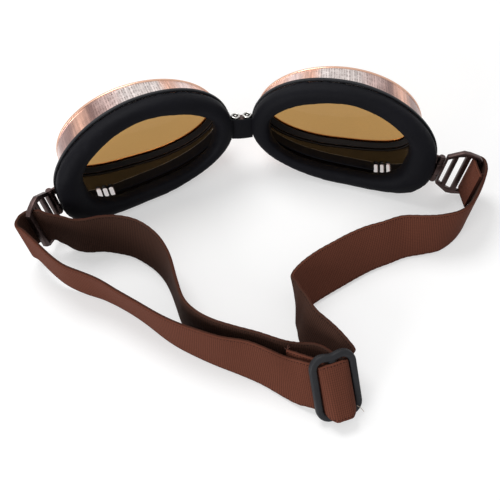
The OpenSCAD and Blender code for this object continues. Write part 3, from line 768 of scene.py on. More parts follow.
def shell_rows():
    """Profile of the copper shell: rolled flange, fillet, wall with its line, and the inside."""
    flange = ((-0.5, 0.0), (-0.15, 0.08), (0.0, 0.35), (0.0, 0.85), (-0.15, 1.12), (-0.5, 1.2))
    fillet = ((1.6, 1.2), (0.9, 1.28), (0.4, 1.6), (0.12, 2.1))
    front = ((0.0, 11.5), (-0.2, 11.62), (-0.2, 11.85), (0.0, 12.0), (0.0, 12.8), (-0.12, 13.0))
    front += ((-1.1, 13.0), (-1.2, 12.85))
    rows = [(FLANGE, grow, 1, depth) for grow, depth in flange]
    rows += [(BASE, grow, 1, depth) for grow, depth in fillet]
    rows += wall_rows(0.0, 2.8, FRONT_OF_WALL, 10)[:-2]
    rows += [(WALL, grow, 0, depth) for grow, depth in front]
    return rows + wall_rows(-1.2, 0.2, 12.6, 6)[::-1][1:]


def vent_cutters(side, width, longer=0.0, start=1.1):
    """Blocks with rounded edges that cut the vent slots, from a distance before the flange."""
    made = []
    start += flange_y(VENT_X)
    for k in (-1, 0, 1):
        x = VENT_X + k * VENT_PITCH
        low = (x - width / 2, start, BASE[2] + VENT_LOW)
        high = (x + width / 2, start + VENT_LEN + longer, BASE[2] + VENT_HIGH)
        place = lambda p: cup_point(side, p)
        made.append(slab("vent cutter", place, low, high, width * 0.45, None, "copper"))
    return made


def build_shell(side, sizes):
    """Copper shell with its vents, the nose eye on its arm, and the knuckles of the bracket's hinge."""
    word = SIDE_NAMES[side]
    body, solid = word + "_cup", word + "_cup_frame"
    look = "plated copper wall"
    shell = cup_ring(side, "shell", shell_rows(), "copper", look, "cup_frame", sizes.stations)
    cut(shell, vent_cutters(side, sizes.vent_width / MM, 0.9))
    place = lambda p: pin_point(side, p)
    hinge = lambda p: cup_point(side, spin(p, "Y", HINGE_TILT) + Vector(HINGE_AT))
    ear_place = lambda p: hinge(spin(p, "Z", -EAR_TURN))
    lathe(word + "_nose_eye", place, NOSE_EYE, body, "copper", "copper", 40, True, solid)
    for name, low, high in NOSE_BLOCKS:
        slab(f"{word}_nose_{name}", place, low, high, 0.3, body, "copper", solid)
    for k, middle in (("lower", -KNUCKLE_AT), ("upper", KNUCKLE_AT)):
        rows = [(r, middle + h) for r, h in KNUCKLE]
        lathe(f"{word}_{k}_knuckle", hinge, rows, body, "copper", "dark copper", 40, True, solid)
        low, high = (-5.5, -0.55, middle - EAR_HALF), (-1.0, 0.55, middle + EAR_HALF)
        slab(f"{word}_{k}_ear", ear_place, low, high, 0.25, body, "dark copper", solid)


def build_front(side, sizes):
    """Front rim, inner wall and its ridge, foam sleeve and its seam, whose lighter colour is a painted
    highlight, and the seal of the lens.
    """
    vent = sizes.vent_width / MM
    inner = wall_rows(LINER_GROW[0], *LINER_DEEP, 8) + wall_rows(LINER_GROW[1], *LINER_DEEP, 8)[::-1]
    sleeve_slots = (vent + 0.2, 0.0, -1.5)
    for name, solid, slot, look, rows, slots in (
        ("front_rim", "bezel", "copper", "copper", on_wall(BEZEL_ROWS, 0.25), None),
        ("inner_wall", "liner", "liner", "brown liner", inner, (vent,)),
        ("inner_ridge", "liner", "liner", "brown seal", on_wall(RIDGE_ROWS, 0.12), None),
        ("foam_sleeve", "liner", "pad", "black jersey", on_wall(SLEEVE_ROWS, 0.1, 1), sleeve_slots),
        # The seam's lighter colour is a painted highlight along the sleeve's front edge.
        ("sleeve_seam", "liner", "pad", "pad trim", on_wall(SEAM_ROWS, 0.1, 1), (vent + 0.8,)),
        ("lens_seal", "gasket", "gasket", "brown seal", on_wall(GASKET_ROWS, 0.2), None),
        ("seal_line", "gasket", "gasket", "black gasket", on_wall(SEAL_LINE_ROWS, 0.1), None),
    ):
        ring = cup_ring(side, name, rows, slot, look, solid, sizes.stations)
        if slots:
            cut(ring, vent_cutters(side, *slots))


def build_lens(side, sizes):
    word = SIDE_NAMES[side]
    n = sizes.stations

    def section(i, k):
        grow, depth = LENS_ROWS[i]
        x, z = oval_point(WALL, 360.0 * k / n, grow)
        return cup_point(side, (x, depth, z))

    bm = loft(section, (len(LENS_ROWS), n), "caps")
    finish_mesh(word + "_amber_lens", bm, word + "_cup", "lens", "amber lens", 30.0, word + "_lens")


# Face pads

# Section of the pad: share of its width from the inside to the outside, then share of its depth
PAD_SECTION = (
    (0.04, 0.0), (0.3, 0.0), (0.7, 0.0), (0.965, 0.0), (0.98, 0.25), (0.975, 0.6), (0.94, 0.84),
    (0.8, 0.97), (0.5, 1.04), (0.2, 0.97), (0.06, 0.84), (0.015, 0.55), (0.015, 0.25),
)
PAD_DEPTH = 7.9
PAD_BINDING = (
    (-0.7, -0.2), (0.1, -0.2), (0.3, 0.05), (0.3, 1.2), (0.1, 1.4), (-0.9, 1.4), (-0.9, 1.22),
)
# The pad is swollen at ten times its size: metres of the form to a millimetre of the pad, and back
TO_FORM, FROM_FORM = 0.01, 100.0
SWELL_CAP = 0.0075
TABLE_CLEAR = 0.00005


def pad_local(turn, u, v):
    """Point of the pad in the cup's own frame, in millimetres."""
    inner = Vector(oval_point(OPENING, turn))
    swell = min(1.0, v / 0.8)
    edge = Vector(oval_point(FLANGE, turn)) * (1 - swell) + Vector(oval_point(PAD, turn)) * swell
    p = inner * (1 - u) + edge * u
    return Vector((p.x, flange_y(p.x) - 0.06 - v * PAD_DEPTH, p.y))


def pad_depth(x, y):
    """Share of the pad's depth at a point, 0 at the flange and 1 at the face."""
    return (flange_y(x) - y) / PAD_DEPTH


def swollen_pad(voxel):
    """Form of one pad, swollen by air pressure and then held to a cap."""
    n = 96
    ring = lambda i, k: pad_local(360.0 * i / n, *PAD_SECTION[k]) * TO_FORM
    bm = loft(ring, (n, len(PAD_SECTION)), True)
    bmesh.ops.recalc_face_normals(bm, faces=bm.faces)
    form = mesh_object("pad form", bm)
    remesh = form.modifiers.new("even", "REMESH")
    remesh.mode = "VOXEL"
    remesh.voxel_size = voxel * TO_FORM
    remesh.use_smooth_shade = True
    bake(form)
    rest = np.array([v.co[:] for v in form.data.vertices])
    cloth = form.modifiers.new("fill", "CLOTH")
    cloth.settings.use_pressure = True
    cloth.settings.uniform_pressure_force = 4.0
    cloth.settings.effector_weights.gravity = 0.0
    cloth.settings.quality = 6
    cloth.point_cache.frame_end = 20
    for step in range(1, 21):
        bpy.context.scene.frame_set(step)
    bake(form)
    bpy.context.scene.frame_set(1)
    moved = np.array([v.co[:] for v in form.data.vertices]) - rest
    depth = np.array([pad_depth(p[0] * FROM_FORM, p[1] * FROM_FORM) for p in rest])
    free = np.clip((depth - 0.05) / 0.25, 0.0, 1.0)
    size = np.linalg.norm(moved, axis=1)
    keep = np.minimum(size, SWELL_CAP * free) / np.maximum(size, 1e-9)
    for v, p in zip(form.data.vertices, rest + moved * keep[:, None]):
        v.co = p
    smooth = form.modifiers.new("round", "SUBSURF")
    smooth.levels = smooth.render_levels = 1
    bake(form)
    return form


def build_pads(sizes):
    """Two swollen pads with a sewn line round each side, and the binding over each flange's edge."""
    form = swollen_pad(sizes.pad_voxel / MM)
    points = [Vector(v.co) * FROM_FORM for v in form.data.vertices]
    for side, word in SIDE_NAMES.items():
        bm = bmesh.new()
        bm.from_mesh(form.data)
        bm.normal_update()
        for v, p in zip(bm.verts, points):
            depth = pad_depth(p.x, p.y)
            seam = math.exp(-(((depth - 0.45) / 0.035) ** 2))
            soft = 0.06 * math.sin(p.x * 0.31 + side) * math.sin(p.z * 0.23 + 2 * side)
            q = p + v.normal * ((0.14 * seam + soft) * min(1.0, max(0.0, depth * 4)))
            q.y = min(q.y, flange_y(q.x) - 0.02)
            v.co = cup_point(side, q)
            v.co.z = max(v.co.z, TABLE_CLEAR)
        pad = finish_mesh(
            word + "_pad", bm, word + "_cup", "pad", "black jersey", None, word + "_face_pad"
        )
        rows = on_wall(PAD_BINDING, 0.12, 1, FLANGE)
        cup_ring(side, "pad_binding", rows, "pad", "slider black", "face_pad", sizes.stations)
    bpy.data.objects.remove(form)


# Bridge

# Name, slot, finish, points round and profile of each turned piece of a nose pin
PIN_PARTS = (
    ("nose_pin", "steel", "bright steel", 40, (
        (0.0, -10.1), (0.7, -10.1), (0.88, -9.9), (0.88, -1.2), (1.8, -1.2), (2.22, -1.05), (2.3, -0.6),
        (2.2, -0.15), (1.95, 0.12), (1.65, 0.18), (1.4, 0.05), (1.3, -0.35), (0.0, -0.42),
    )),
    # The black disc in the hollow of each pin head is painted shade of the hollow.
    ("pin_hollow_shade", "slider", "black gasket", 32, ((0.0, -0.4), (1.28, -0.4), (1.28, -0.24), (0.0, -0.22))),
    ("pin_rivet", "steel", "bright steel", 24, (
        (0.0, -0.3), (0.55, -0.3), (0.55, -0.1), (0.42, 0.04), (0.15, 0.1), (0.0, 0.1),
    )),
)
# The nose strip: middle forward and up, half its thickness and height, its reach and its bend
STRIP_MIDDLE, STRIP_HALF, STRIP_REACH = (-3.4, -5.4), (0.8, 5.45), 4.9
STRIP_BEND = (1.2, 4.1)


def build_bridge(sizes):
    """Nose link, its pins with their hollows and rivets, and the strip under it."""
    from_node("nose_link", "bridge_link", "bridge", "copper", "dark copper", 0.12, 2)
    for side, word in SIDE_NAMES.items():
        place = lambda p: pin_point(side, p)
        for name, slot, look, around, profile in PIN_PARTS:
            solid = word + "_bridge_pin"
            lathe(f"{word}_{name}", place, profile, "bridge", slot, look, around, False, solid)
    for side, word in SIDE_NAMES.items():
        build_nose_strip(side, word)


def strip_point(x, y, z):
    return Vector((x, *spin((0, y, z), "X", -PITCH).yz)) * MM + Vector((0, 0, STAND_H)) * MM


def build_nose_strip(side, word):
    """Half of the black strip between the pads."""
    around, steps = 26, 8

    def section(i, k):
        x = side * STRIP_REACH * i / steps
        a, b = squared(2 * math.pi * k / around, *STRIP_HALF, (0.8, 0.35))
        return strip_point(x, STRIP_MIDDLE[0] + a - 0.25 * math.cos(x * 0.5), STRIP_MIDDLE[1] + b)

    bm = loft(section, (steps + 1, around), "caps")
    half = finish_mesh(word + "_nose_strip", bm, None, "pad", "black jersey", 50.0, "nose_strip")
    start, end = [tuple(strip_point(side * x, *STRIP_MIDDLE)) for x in STRIP_BEND]
    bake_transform(half)


# Brackets and slider

SLIDER_HALF_W, SLIDER_HALF_H, SLIDER_CORNER, SLIDER_BAR = 8.4, 13.5, 4.6, 1.5
SLIDER_MIDDLE, SLIDER_DIP, SLIDER_DIP_W = 15.0, 0.8, 2.8
POST_FOOT, POST_H = 1.5, 25.6


def build_brackets(sizes):
    """Cast brackets with softened edges, and the finish of their pins."""
    for word in SIDE_NAMES.values():
        body = word + "_bracket_set"
        from_node(word + "_arm", word + "_bracket", body, "dark_copper", "dark copper", 0.42, 3)
        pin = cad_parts[word + "_bracket_pin"]
        pin.data.materials.clear()
        pin.data.materials.append(finish("dark copper"))


def squared(turn, half_a, half_b, fullness=(0.55, 0.55)):
    """Point of a rounded square section."""
    c, s = math.cos(turn), math.sin(turn)
    return (
        half_a * math.copysign(abs(c) ** fullness[0], c),
        half_b * math.copysign(abs(s) ** fullness[1], s),
    )


def build_slider(sizes):
    """Moulded slider: a rounded frame whose top dips in the middle, and its middle bar."""
    around, steps, posts = 20, 13, 8
    a, b = SLIDER_HALF_W - SLIDER_CORNER, SLIDER_HALF_H - SLIDER_CORNER
    path = []
    for cx, cz, start in ((1, 1, 0), (-1, 1, 90), (-1, -1, 180), (1, -1, 270)):
        for k in range(steps):
            w = math.radians(start + 90.0 * k / (steps - 1))
            path.append((cx * a + SLIDER_CORNER * math.cos(w), cz * b + SLIDER_CORNER * math.sin(w)))
        if cz > 0 and cx > 0:
            path += [(a * (1 - 2 * k / steps), SLIDER_HALF_H) for k in range(1, steps)]
    dip = lambda x: SLIDER_DIP * math.exp(-((x / SLIDER_DIP_W) ** 2))
    path = [(x, z - (dip(x) if z > 0 else 0.0)) for x, z in path]

    def ring(i, k):
        x, z = path[i]
        ahead, before = path[(i + 1) % len(path)], path[i - 1]
        t = Vector((ahead[0] - before[0], 0, ahead[1] - before[1])).normalized()
        out, f = squared(2 * math.pi * k / around, SLIDER_BAR, SLIDER_BAR)
        return slider_point(x + t.z * out, f, z + SLIDER_MIDDLE - t.x * out)

    def post(i, k):
        out, f = squared(2 * math.pi * k / around, SLIDER_BAR, SLIDER_BAR * 0.9)
        return slider_point(out, f, POST_FOOT + POST_H * i / posts)

    for name, section, rings, ends in (
        ("slider_frame", ring, len(path), True),
        ("slider_bar", post, posts + 1, "caps"),
    ):
        bm = loft(section, (rings, around), ends)
        finish_mesh(name, bm, "slider_set", "slider", "slider black", 60.0, "slider")


# Strap


def run_band(rows):
    """Stations of a run that stands on its lower edge."""
    made = []
    for k, (x, y, z, lean, slant) in enumerate(rows):
        a, b = rows[max(k - 1, 0)], rows[min(k + 1, len(rows) - 1)]
        t = Vector((b[0] - a[0], b[1] - a[1], 0)).normalized()
        lean, slant = math.radians(lean), math.radians(slant)
        up = Vector((0, 0, math.cos(lean))) + Vector((-t.y, t.x, 0)) * math.sin(lean)
        up = (up + t * math.sin(slant)).normalized()
        made.append((Vector((x, y, z)) * MM, up * STRAP_W * MM))
    return made


def bracket_band(side, rows):
    made = []
    for s, f in rows:
        s += BRACKET_LEN
        up = (bracket_point(side, s, f, 1) - bracket_point(side, s, f, 0)) * GATHER * STRAP_W
        made.append((bracket_point(side, s, f, -GATHER * STRAP_W / 2), up))
    return made


def slider_band(rows):
    """Stations through the slider. In front of it the webbing hangs forward at its lower edge."""
    made = []
    for e, f, h in rows:
        hang = min(1.0, max(0.0, (-f - 1.2) / 2.0))
        low = slider_point(e, f - 1.4 * hang, h - 2.0 * hang)
        high = slider_point(e, f + 2.6 * hang, h + STRAP_W + 0.8 * hang)
        made.append((low, high - low))
    return made


def whole_band():
    """Every station of the webbing, from the sewn end at the right bracket to the loose tail."""
    return (
        bracket_band(1, RIGHT_LOOP)
        + run_band(RIGHT_RUN)
        + run_band(MIDDLE_RUN)
        + slider_band(TURN_ROUTE)
        + run_band(FRONT_RUN)[::-1]
        + bracket_band(-1, LEFT_LOOP)[::-1]
        + run_band(BACK_RUN)
        + slider_band(TAIL_ROUTE)
    )


def catmull(a, b, c, d, t):
    return 0.5 * (2 * b + (c - a) * t + (2 * a - 5 * b + 4 * c - d) * t**2 + (3 * b - a - 3 * c + d) * t**3)


# Stations where the webbing eases from one hold to the next, and over how many millimetres
EASED_AT = (
    (8.5, 3.0), (18.0, 4.0), (22.0, 7.0), (26.8, 3.0), (39.4, 3.0), (44.0, 4.0), (49.4, 8.5),
    (57.4, 6.0), (64.0, 4.0), (72.6, 3.5),
)


class Band:
    """The webbing's middle surface as a smooth function of the station number."""

    def __init__(self, fine=16):
        stations = whole_band()
        self.last = len(stations) - 1
        self.fine = fine
        marks = np.linspace(0, self.last, self.last * fine + 1)
        low, wide = [], []
        for s in marks:
            k = min(int(s), self.last - 1)
            four = [stations[min(max(j, 0), self.last)] for j in (k - 1, k, k + 1, k + 2)]
            low.append(catmull(*[q[0] for q in four], s - k))
            wide.append(catmull(*[q[1] for q in four], s - k))
        low, wide = np.array(low), np.array(wide)
        self.run = self.measured(low, wide)
        ease = np.full(len(marks), 0.25)
        for place, reach in EASED_AT:
            ease = np.maximum(ease, reach * np.exp(-(((marks - place) / 1.5) ** 2)))
        gap = self.run[:, None] - self.run[None, :]

        def smoothed(edge, reach):
            weight = np.exp(-0.5 * (gap / (reach[:, None] * MM)) ** 2) * np.gradient(self.run)
            return (weight @ edge) / weight.sum(axis=1, keepdims=True)

        self.low = smoothed(low, ease)
        self.wide = smoothed(low + wide, ease * 1.35) - self.low
        for k in (0, -1):
            self.low[k], self.wide[k] = low[k], wide[k]
        self.run = self.measured(self.low, self.wide)

    @staticmethod
    def measured(low, wide):
        middle = low + wide / 2
        steps = np.linalg.norm(np.diff(middle, axis=0), axis=1)
        return np.concatenate([[0.0], np.cumsum(steps)])

    def at(self, s):
        x = min(max(s, 0.0), self.last) * self.fine
        k = min(int(x), len(self.run) - 2)
        t = x - k
        low = self.low[k] * (1 - t) + self.low[k + 1] * t
        wide = self.wide[k] * (1 - t) + self.wide[k + 1] * t
        return Vector(low), Vector(wide)

    def length(self, s):
        return float(np.interp(s * self.fine, np.arange(len(self.run)), self.run))

    def station(self, length):
        return float(np.interp(length, self.run, np.arange(len(self.run)))) / self.fine

    def frame_at(self, s):
        p, w = self.at(s)
        (pa, wa), (pb, wb) = self.at(s - 0.1), self.at(s + 0.1)
        t = (pb + wb / 2 - pa - wa / 2).normalized()
        return p, w, t.cross(w).normalized()


def webbing_section():
    """Section of the webbing: share of its width and of its thickness, out and back."""
    face = (0.02, 0.04, 0.1, 0.18, 0.27, 0.36, 0.45, 0.55, 0.64, 0.73, 0.82, 0.9, 0.96, 0.98)
    out = [(a, 0.5 if 0.03 < a < 0.97 else 0.46) for a in face]
    back = [(a, -b) for a, b in reversed(out)]
    return out + [(1.0, 0.26), (1.0, -0.26)] + back + [(0.0, -0.26), (0.0, 0.26)]


def strap_piece(band, name, start, end, solid, sizes):
    """Closed length of webbing between two stations, with its weave measured along the band."""
    outline = webbing_section()
    around = len(outline)
    low, high = band.length(start), band.length(end)
    last = max(4, int((high - low) / sizes.strap_step) + 1) - 1
    measured = [low + (high - low) * k / last for k in range(last + 1)]
    places = [band.frame_at(band.station(along)) for along in measured]

    def section(i, k):
        p, w, f = places[i]
        a, b = outline[k]
        ripple = EDGE_RIPPLE * math.sin(measured[i] * RIPPLE_RATE) * (1 if a in (0.0, 1.0) else 0)
        return p + w * a + f * (b * STRAP_T * MM) + w.normalized() * ripple * (1 if a > 0.5 else -1)

    def chart(i, k):
        return outline[k % around][0], (low + (high - low) * i / last) * 100.0

    bm = loft(section, (last + 1, around), "caps", chart)
    tag = bm.verts.layers.int["k"]
    for face in bm.faces:
        marks = [outline[v[tag]] for v in face.verts]
        inner = sum(b for a, b in marks) > 0
        edge = all(a in (0.0, 1.0) for a, b in marks) or len(marks) > 4
        # The inner face gets the darker inner webbing, whose darkness is partly painted shade of faces
        # turned from the light.
        face.material_index = 2 if edge else int(inner)
    piece = finish_mesh(name, bm, None, "webbing", "brown webbing", 70.0, solid)
    for other in ("inner webbing", "webbing edge"):
        piece.data.materials.append(finish(other))
    return piece


# Name, first and last station, bodies that it follows, and the solid that it stands for
STRAP_PIECES = (
    ("right_loop", 0, 8, ("right_bracket_set",), "right_strap_loop"),
    ("right_strap_near", 8, 12, ("right_bracket_set", "right_cup"), "strap_right"),
    ("right_strap_mid", 12, 17, ("right_cup", "bridge"), "strap_right"),
    ("right_strap_far", 17, 22, ("bridge",), "strap_right"),
    ("strap_curl", 22, 27, ("bridge", "slider_set"), "strap_middle"),
    ("slider_turn", 27, 39, ("slider_set",), "strap_slider_turn"),
    ("front_strap_far", 39, 43, ("slider_set", "bridge"), "strap_left_front"),
    ("front_strap_mid", 43, 46.5, ("bridge", "left_cup"), "strap_left_front"),
    ("front_strap_near", 46.5, 50, ("left_cup", "left_bracket_set"), "strap_left_front"),
    ("left_loop", 50, 57, ("left_bracket_set",), "left_strap_loop"),
    ("back_strap_near", 57, 61, ("left_bracket_set", "left_cup"), "strap_left_back"),
    ("back_strap_mid", 61, 66, ("left_cup", "bridge"), "strap_left_back"),
    ("back_strap_rest", 66, 70, ("bridge",), "strap_left_back"),
    ("back_strap_far", 70, 73, ("bridge", "slider_set"), "strap_left_back"),
    ("loose_tail", 73, 85, ("slider_set",), "strap_tail"),
)


# Stitches of the right loop, along the bracket and behind it, and the two rows at the tail's end
LOOP_STITCH_S, LOOP_STITCH_F, LOOP_STITCHES = (-4.05, -3.9, -2.5, -1.2, 0.2, 1.2, 1.45), -8.3, 6
TAIL_ROWS, TAIL_STITCHES, TAIL_END = (84.35, 84.75), 9, 84.9
# Where a tail stitch runs, from hole to hole, and how far it stands off the webbing's middle
TAIL_STITCH = ((-0.9, 0.6), (-0.75, 0.82), (-0.2, 0.82), (0.2, 0.82), (0.75, 0.82), (0.9, 0.6))
# Loose thread ends: share of the webbing's width, length and sideways bend
LOOSE_ENDS = ((0.98, 2.2, 0.5), (0.93, 1.6, -0.5), (0.99, 1.2, 1.1), (0.96, 1.8, -1.0))


def build_strap(sizes):
    """Every piece of the webbing; a piece with one body rides on it, and a piece between two bodies stays
    where it is made.
    """
    band = Band()
    for name, start, end, bodies, solid in STRAP_PIECES:
        piece = strap_piece(band, name, start, end, solid, sizes)
        if len(bodies) == 1:
            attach(piece, bodies[0])
            continue
        for s in (start + 0.3, end - 0.3):
            p, w = band.at(s)
        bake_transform(piece)


def build_threads(sizes):
    """Stitches through the right loop, stitches at the tail's sewn end, and loose thread ends."""
    band = Band()
    r = sizes.thread_radius
    fine = r * 0.6
    for k in range(LOOP_STITCHES):
        h = -8.0 + 16.0 * k / (LOOP_STITCHES - 1)
        points = [
            bracket_point(1, BRACKET_LEN + s, LOOP_STITCH_F + 0.2 * math.sin(5 * k + s), h)
            for s in LOOP_STITCH_S
        ]
        thread(f"loop_stitch_{k}", points, r, "right_bracket_set", solid="right_loop_stitch")
    for row, s in enumerate(TAIL_ROWS):
        p, w, f = band.frame_at(s)
        for k in range(TAIL_STITCHES):
            a = 0.08 + 0.84 * k / (TAIL_STITCHES - 1)
            points = [p + w * (a + 0.028 * t) + f * (out * MM) for t, out in TAIL_STITCH]
            thread(f"tail_stitch_{row}_{k}", points, r, "slider_set")
    p, w, f = band.frame_at(TAIL_END)
    up = w.normalized()
    aside = f.cross(up)
    for k, (a, long, bend) in enumerate(LOOSE_ENDS):
        points = []
        for t in (j / 6 for j in range(7)):
            curl = up * (t * long * MM) + aside * (bend * t * t * MM) + f * (0.4 * bend * t * MM)
            points.append(p + w * a + curl)
        thread(f"loose_thread_{k}", points, fine, "slider_set", 6)
    root = slider_point(6.5, -2.5, 4.6)
    shares = (0, 0.3, 0.6, 0.9, 1.2)
    points = [root + Vector((2.4 * t + 0.2, -1.2 * t * t, -2.2 * t)) * MM for t in shares]
    thread("slider_loose_thread", points, fine, "slider_set", 6, "pale thread")


# Stage

CAMERA_AT = Vector((-40.5, -294.7, 336.6)) * MM
CAMERA_AIM = Vector((-2.7, -57.5, 0.0)) * MM
CAMERA_ROLL = 2.07
CAMERA_FOCUS = 65.085
LIGHT_AIM = Vector((0, -0.05, 0.02))


def build_camera():
    data = bpy.data.cameras.new("camera")
    data.sensor_width = 36.0
    data.sensor_fit = "HORIZONTAL"
    data.lens = CAMERA_FOCUS
    data.clip_start = 0.01
    camera = linked("camera", data)
    back = (CAMERA_AT - CAMERA_AIM).normalized()
    right = Vector((0, 0, 1)).cross(back).normalized()
    up = back.cross(right)
    c, s = math.cos(math.radians(CAMERA_ROLL)), math.sin(math.radians(CAMERA_ROLL))
    x, y = right * c + up * s, up * c - right * s
    turn = Matrix((x, y, back)).transposed().to_4x4()
    camera.matrix_world = Matrix.Translation(CAMERA_AT) @ turn
    bpy.context.scene.camera = camera


def seen_directly(tree):
    """1 for rays that the camera, a gloss or a clear piece sends, else 0."""
    rays = node(tree, "ShaderNodeLightPath").outputs
    total = rays["Is Camera Ray"]
    for name in ("Is Glossy Ray", "Is Transmission Ray"):
        total = maths(tree, "MAXIMUM", total, rays[name])
    return total


def build_floor(stage):
    bm = bmesh.new()
    bmesh.ops.create_grid(bm, x_segments=8, y_segments=8, size=4.0)
    floor = mesh_object("floor", bm)
    material = bpy.data.materials.new("pale floor")
    material.use_nodes = True
    tree = material.node_tree
    dressed(material, {
        "Base Color": stage.floor_colour,
        "Roughness": 0.9,
        "Specular IOR Level": 0.1,
        "Emission Color": (1.0, 1.0, 1.0),
        "Emission Strength": maths(tree, "MULTIPLY", seen_directly(tree), stage.floor_lift),
    })
    floor.data.materials.append(material)


def build_lights(stage):
    world = bpy.data.worlds.new("studio")
    bpy.context.scene.world = world
    world.use_nodes = True
    tree = world.node_tree
    back = tree.nodes["Background"].inputs
    join(tree, (1.0, 1.0, 1.0), back["Color"])
    join(tree, spread(tree, seen_directly(tree), stage.world_level, 1.0), back["Strength"])
    for name, place, size, power in (
        ("key light", (-0.3, 0.45, 0.9), 0.55, stage.key_power),
        ("side light", (-0.75, -0.75, 0.35), 0.5, stage.side_power),
    ):
        data = bpy.data.lights.new(name, "AREA")
        data.shape = "DISK"
        data.size = size
        data.energy = power
        lamp = linked(name, data)
        lamp.location = place
        lamp.rotation_euler = (Vector(place) - LIGHT_AIM).to_track_quat("Z", "Y").to_euler()
    bpy.context.scene.view_settings.view_transform = "Standard"


# Add-on


def colour(label, about, value):
    return bpy.props.FloatVectorProperty(
        name=label, description=about, subtype="COLOR", size=3, min=0.0, max=1.0, default=value
    )


def length(label, about, value):
    return bpy.props.FloatProperty(
        name=label, description=about, default=value, min=0.0, subtype="DISTANCE", unit="LENGTH"
    )


def level(label, about, value):
    return bpy.props.FloatProperty(name=label, description=about, default=value)


class GogglesSizes(bpy.types.PropertyGroup):
    """Sizes of the finished pieces that a user may change."""

    stations: bpy.props.IntProperty(
        name="Stations", description="Points round each cup outline", default=240, min=72, max=480
    )
    vent_width: length("Vent width", "Width of a vent slot in the lower wall", 0.0021)
    pad_voxel: length("Pad grain", "Size of the even squares that the pads are swollen from", 0.0012)
    strap_step: length("Webbing step", "Distance between two rings of the webbing", 0.0009)
    thread_radius: length("Thread radius", "Radius of a sewing thread", 0.00022)


class GogglesColours(bpy.types.PropertyGroup):
    """Colours of the finishes."""

    # Both copper colours also give the painted reflections and glints round the side wall.
    copper_dark: colour("Copper, dark", "Darker patches of the copper", (0.3, 0.175, 0.155))
    copper_light: colour("Copper, light", "Lighter patches of the copper", (0.84, 0.48, 0.36))
    bracket: colour("Bracket", "Dark copper of the brackets and the nose link", (0.1, 0.066, 0.062))
    steel: colour("Steel", "Bright pins", (0.75, 0.73, 0.7))
    liner: colour("Liner", "Inner wall of the cups", (0.0105, 0.0068, 0.0054))
    lens: colour("Lens", "Tint of the lenses", (0.42, 0.25, 0.09))
    pad: colour("Pads", "Jersey over the foam", (0.0058, 0.0058, 0.0082))
    webbing_dark: colour("Webbing, dark", "Valleys of the weave", (0.052, 0.0155, 0.0095))
    webbing_light: colour("Webbing, light", "Tops of the weave", (0.152, 0.048, 0.028))
    # The inner face is darker partly as painted shade of faces turned from the light and partly as a darker
    # back of the webbing.
    inner_dark: colour("Webbing inside, dark", "Valleys of the inner face", (0.016, 0.0075, 0.0055))
    inner_light: colour("Webbing inside, light", "Tops of the inner face", (0.066, 0.028, 0.018))


class GogglesStage(bpy.types.PropertyGroup):
    """Floor and light around the goggles."""

    floor_colour: colour("Floor", "Colour of the floor", (0.6, 0.6, 0.6))
    floor_lift: level("Floor lift", "Light that the floor adds where it is seen", 0.45)
    world_level: level("World level", "Strength of the light from all round", 0.5)
    key_power: level("Key light", "Power of the light behind and above, in watts", 6.0)
    side_power: level("Side light", "Power of the light from the left front, in watts", 6.0)


class GOGGLES_OT_stage(bpy.types.Operator):
    """Make the floor, the lights and the camera"""

    bl_idname = "goggles.stage"
    bl_label = "Stage"

    def execute(self, context):
        build_camera()
        build_floor(context.scene.goggles_stage)
        build_lights(context.scene.goggles_stage)
        return {"FINISHED"}


class PieceOperator:
    """Shared parts of the operators that make pieces: makers for each side, then for the whole."""

    each_side = ()
    whole = ()

    def execute(self, context):
        sizes = context.scene.goggles_sizes
        for side in SIDE_NAMES:
            for make in self.each_side:
                make(side, sizes)
        for make in self.whole:
            make(sizes)
        return {"FINISHED"}


class GOGGLES_OT_cups(PieceOperator, bpy.types.Operator):
    """Make the copper cups with their vents, rims, inner walls and seals"""

    bl_idname = "goggles.cups"
    bl_label = "Cups"
    each_side = (build_shell, build_front)


class GOGGLES_OT_lenses(PieceOperator, bpy.types.Operator):
    """Make the amber lenses and their edges"""

    bl_idname = "goggles.lenses"
    bl_label = "Lenses"
    each_side = (build_lens,)


class GOGGLES_OT_pads(PieceOperator, bpy.types.Operator):
    """Make the soft face pads"""

    bl_idname = "goggles.pads"
    bl_label = "Face pads"
    whole = (build_pads,)


class GOGGLES_OT_bridge(PieceOperator, bpy.types.Operator):
    """Make the nose link, its pins and the strip over the nose"""

    bl_idname = "goggles.bridge"
    bl_label = "Bridge"
    whole = (build_bridge,)


class GOGGLES_OT_brackets(PieceOperator, bpy.types.Operator):
    """Make the strap brackets and finish their pins"""

    bl_idname = "goggles.brackets"
    bl_label = "Strap brackets"
    whole = (build_brackets,)


class GOGGLES_OT_slider(PieceOperator, bpy.types.Operator):
    """Make the slider of the strap"""

    bl_idname = "goggles.slider"
    bl_label = "Slider"
    whole = (build_slider,)


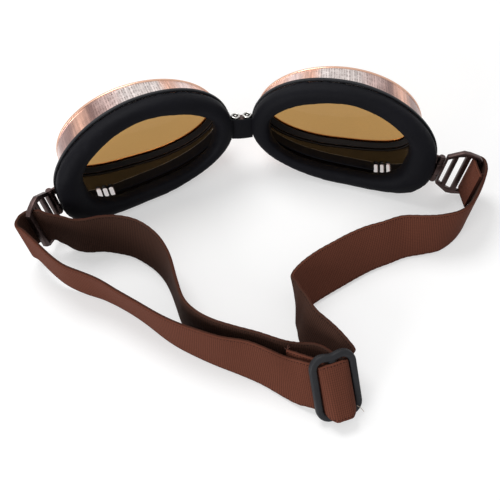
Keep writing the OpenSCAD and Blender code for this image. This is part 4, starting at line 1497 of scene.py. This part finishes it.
class GOGGLES_OT_strap(PieceOperator, bpy.types.Operator):
    """Make the elastic strap from one bracket to the other and back to its tail"""

    bl_idname = "goggles.strap"
    bl_label = "Strap"
    whole = (build_strap,)


class GOGGLES_OT_threads(PieceOperator, bpy.types.Operator):
    """Make the stitches and the loose threads"""

    bl_idname = "goggles.threads"
    bl_label = "Threads"
    whole = (build_threads,)


OPERATORS = (
    GOGGLES_OT_stage,
    GOGGLES_OT_cups,
    GOGGLES_OT_lenses,
    GOGGLES_OT_pads,
    GOGGLES_OT_bridge,
    GOGGLES_OT_brackets,
    GOGGLES_OT_slider,
    GOGGLES_OT_strap,
    GOGGLES_OT_threads,
)


class GOGGLES_PT_panel(bpy.types.Panel):
    """Sizes, colours and pieces of the goggles"""

    bl_idname = "GOGGLES_PT_panel"
    bl_label = "Goggles"
    bl_space_type = "VIEW_3D"
    bl_region_type = "UI"
    bl_category = "Goggles"

    def draw(self, context):
        layout = self.layout
        for label, group in (
            ("Sizes", context.scene.goggles_sizes),
            ("Colours", context.scene.goggles_colours),
            ("Stage", context.scene.goggles_stage),
        ):
            box = layout.box()
            box.label(text=label)
            for key in group.__annotations__:
                box.prop(group, key)
        column = layout.column()
        for operator in OPERATORS:
            column.operator(operator.bl_idname)


GROUPS = (
    ("goggles_sizes", GogglesSizes),
    ("goggles_colours", GogglesColours),
    ("goggles_stage", GogglesStage),
)


def register():
    for name, group in GROUPS:
        bpy.utils.register_class(group)
        setattr(bpy.types.Scene, name, bpy.props.PointerProperty(type=group))
    for made in OPERATORS + (GOGGLES_PT_panel,):
        bpy.utils.register_class(made)


def unregister():
    for made in (GOGGLES_PT_panel,) + OPERATORS[::-1]:
        bpy.utils.unregister_class(made)
    for name, group in GROUPS[::-1]:
        delattr(bpy.types.Scene, name)
        bpy.utils.unregister_class(group)


def main():
    register()
    bpy.ops.goggles.stage()
    bpy.ops.goggles.cups()
    bpy.ops.goggles.lenses()
    bpy.ops.goggles.pads()
    bpy.ops.goggles.bridge()
    bpy.ops.goggles.brackets()
    bpy.ops.goggles.slider()
    bpy.ops.goggles.strap()
    bpy.ops.goggles.threads()


if __name__ == "__main__":
    main()
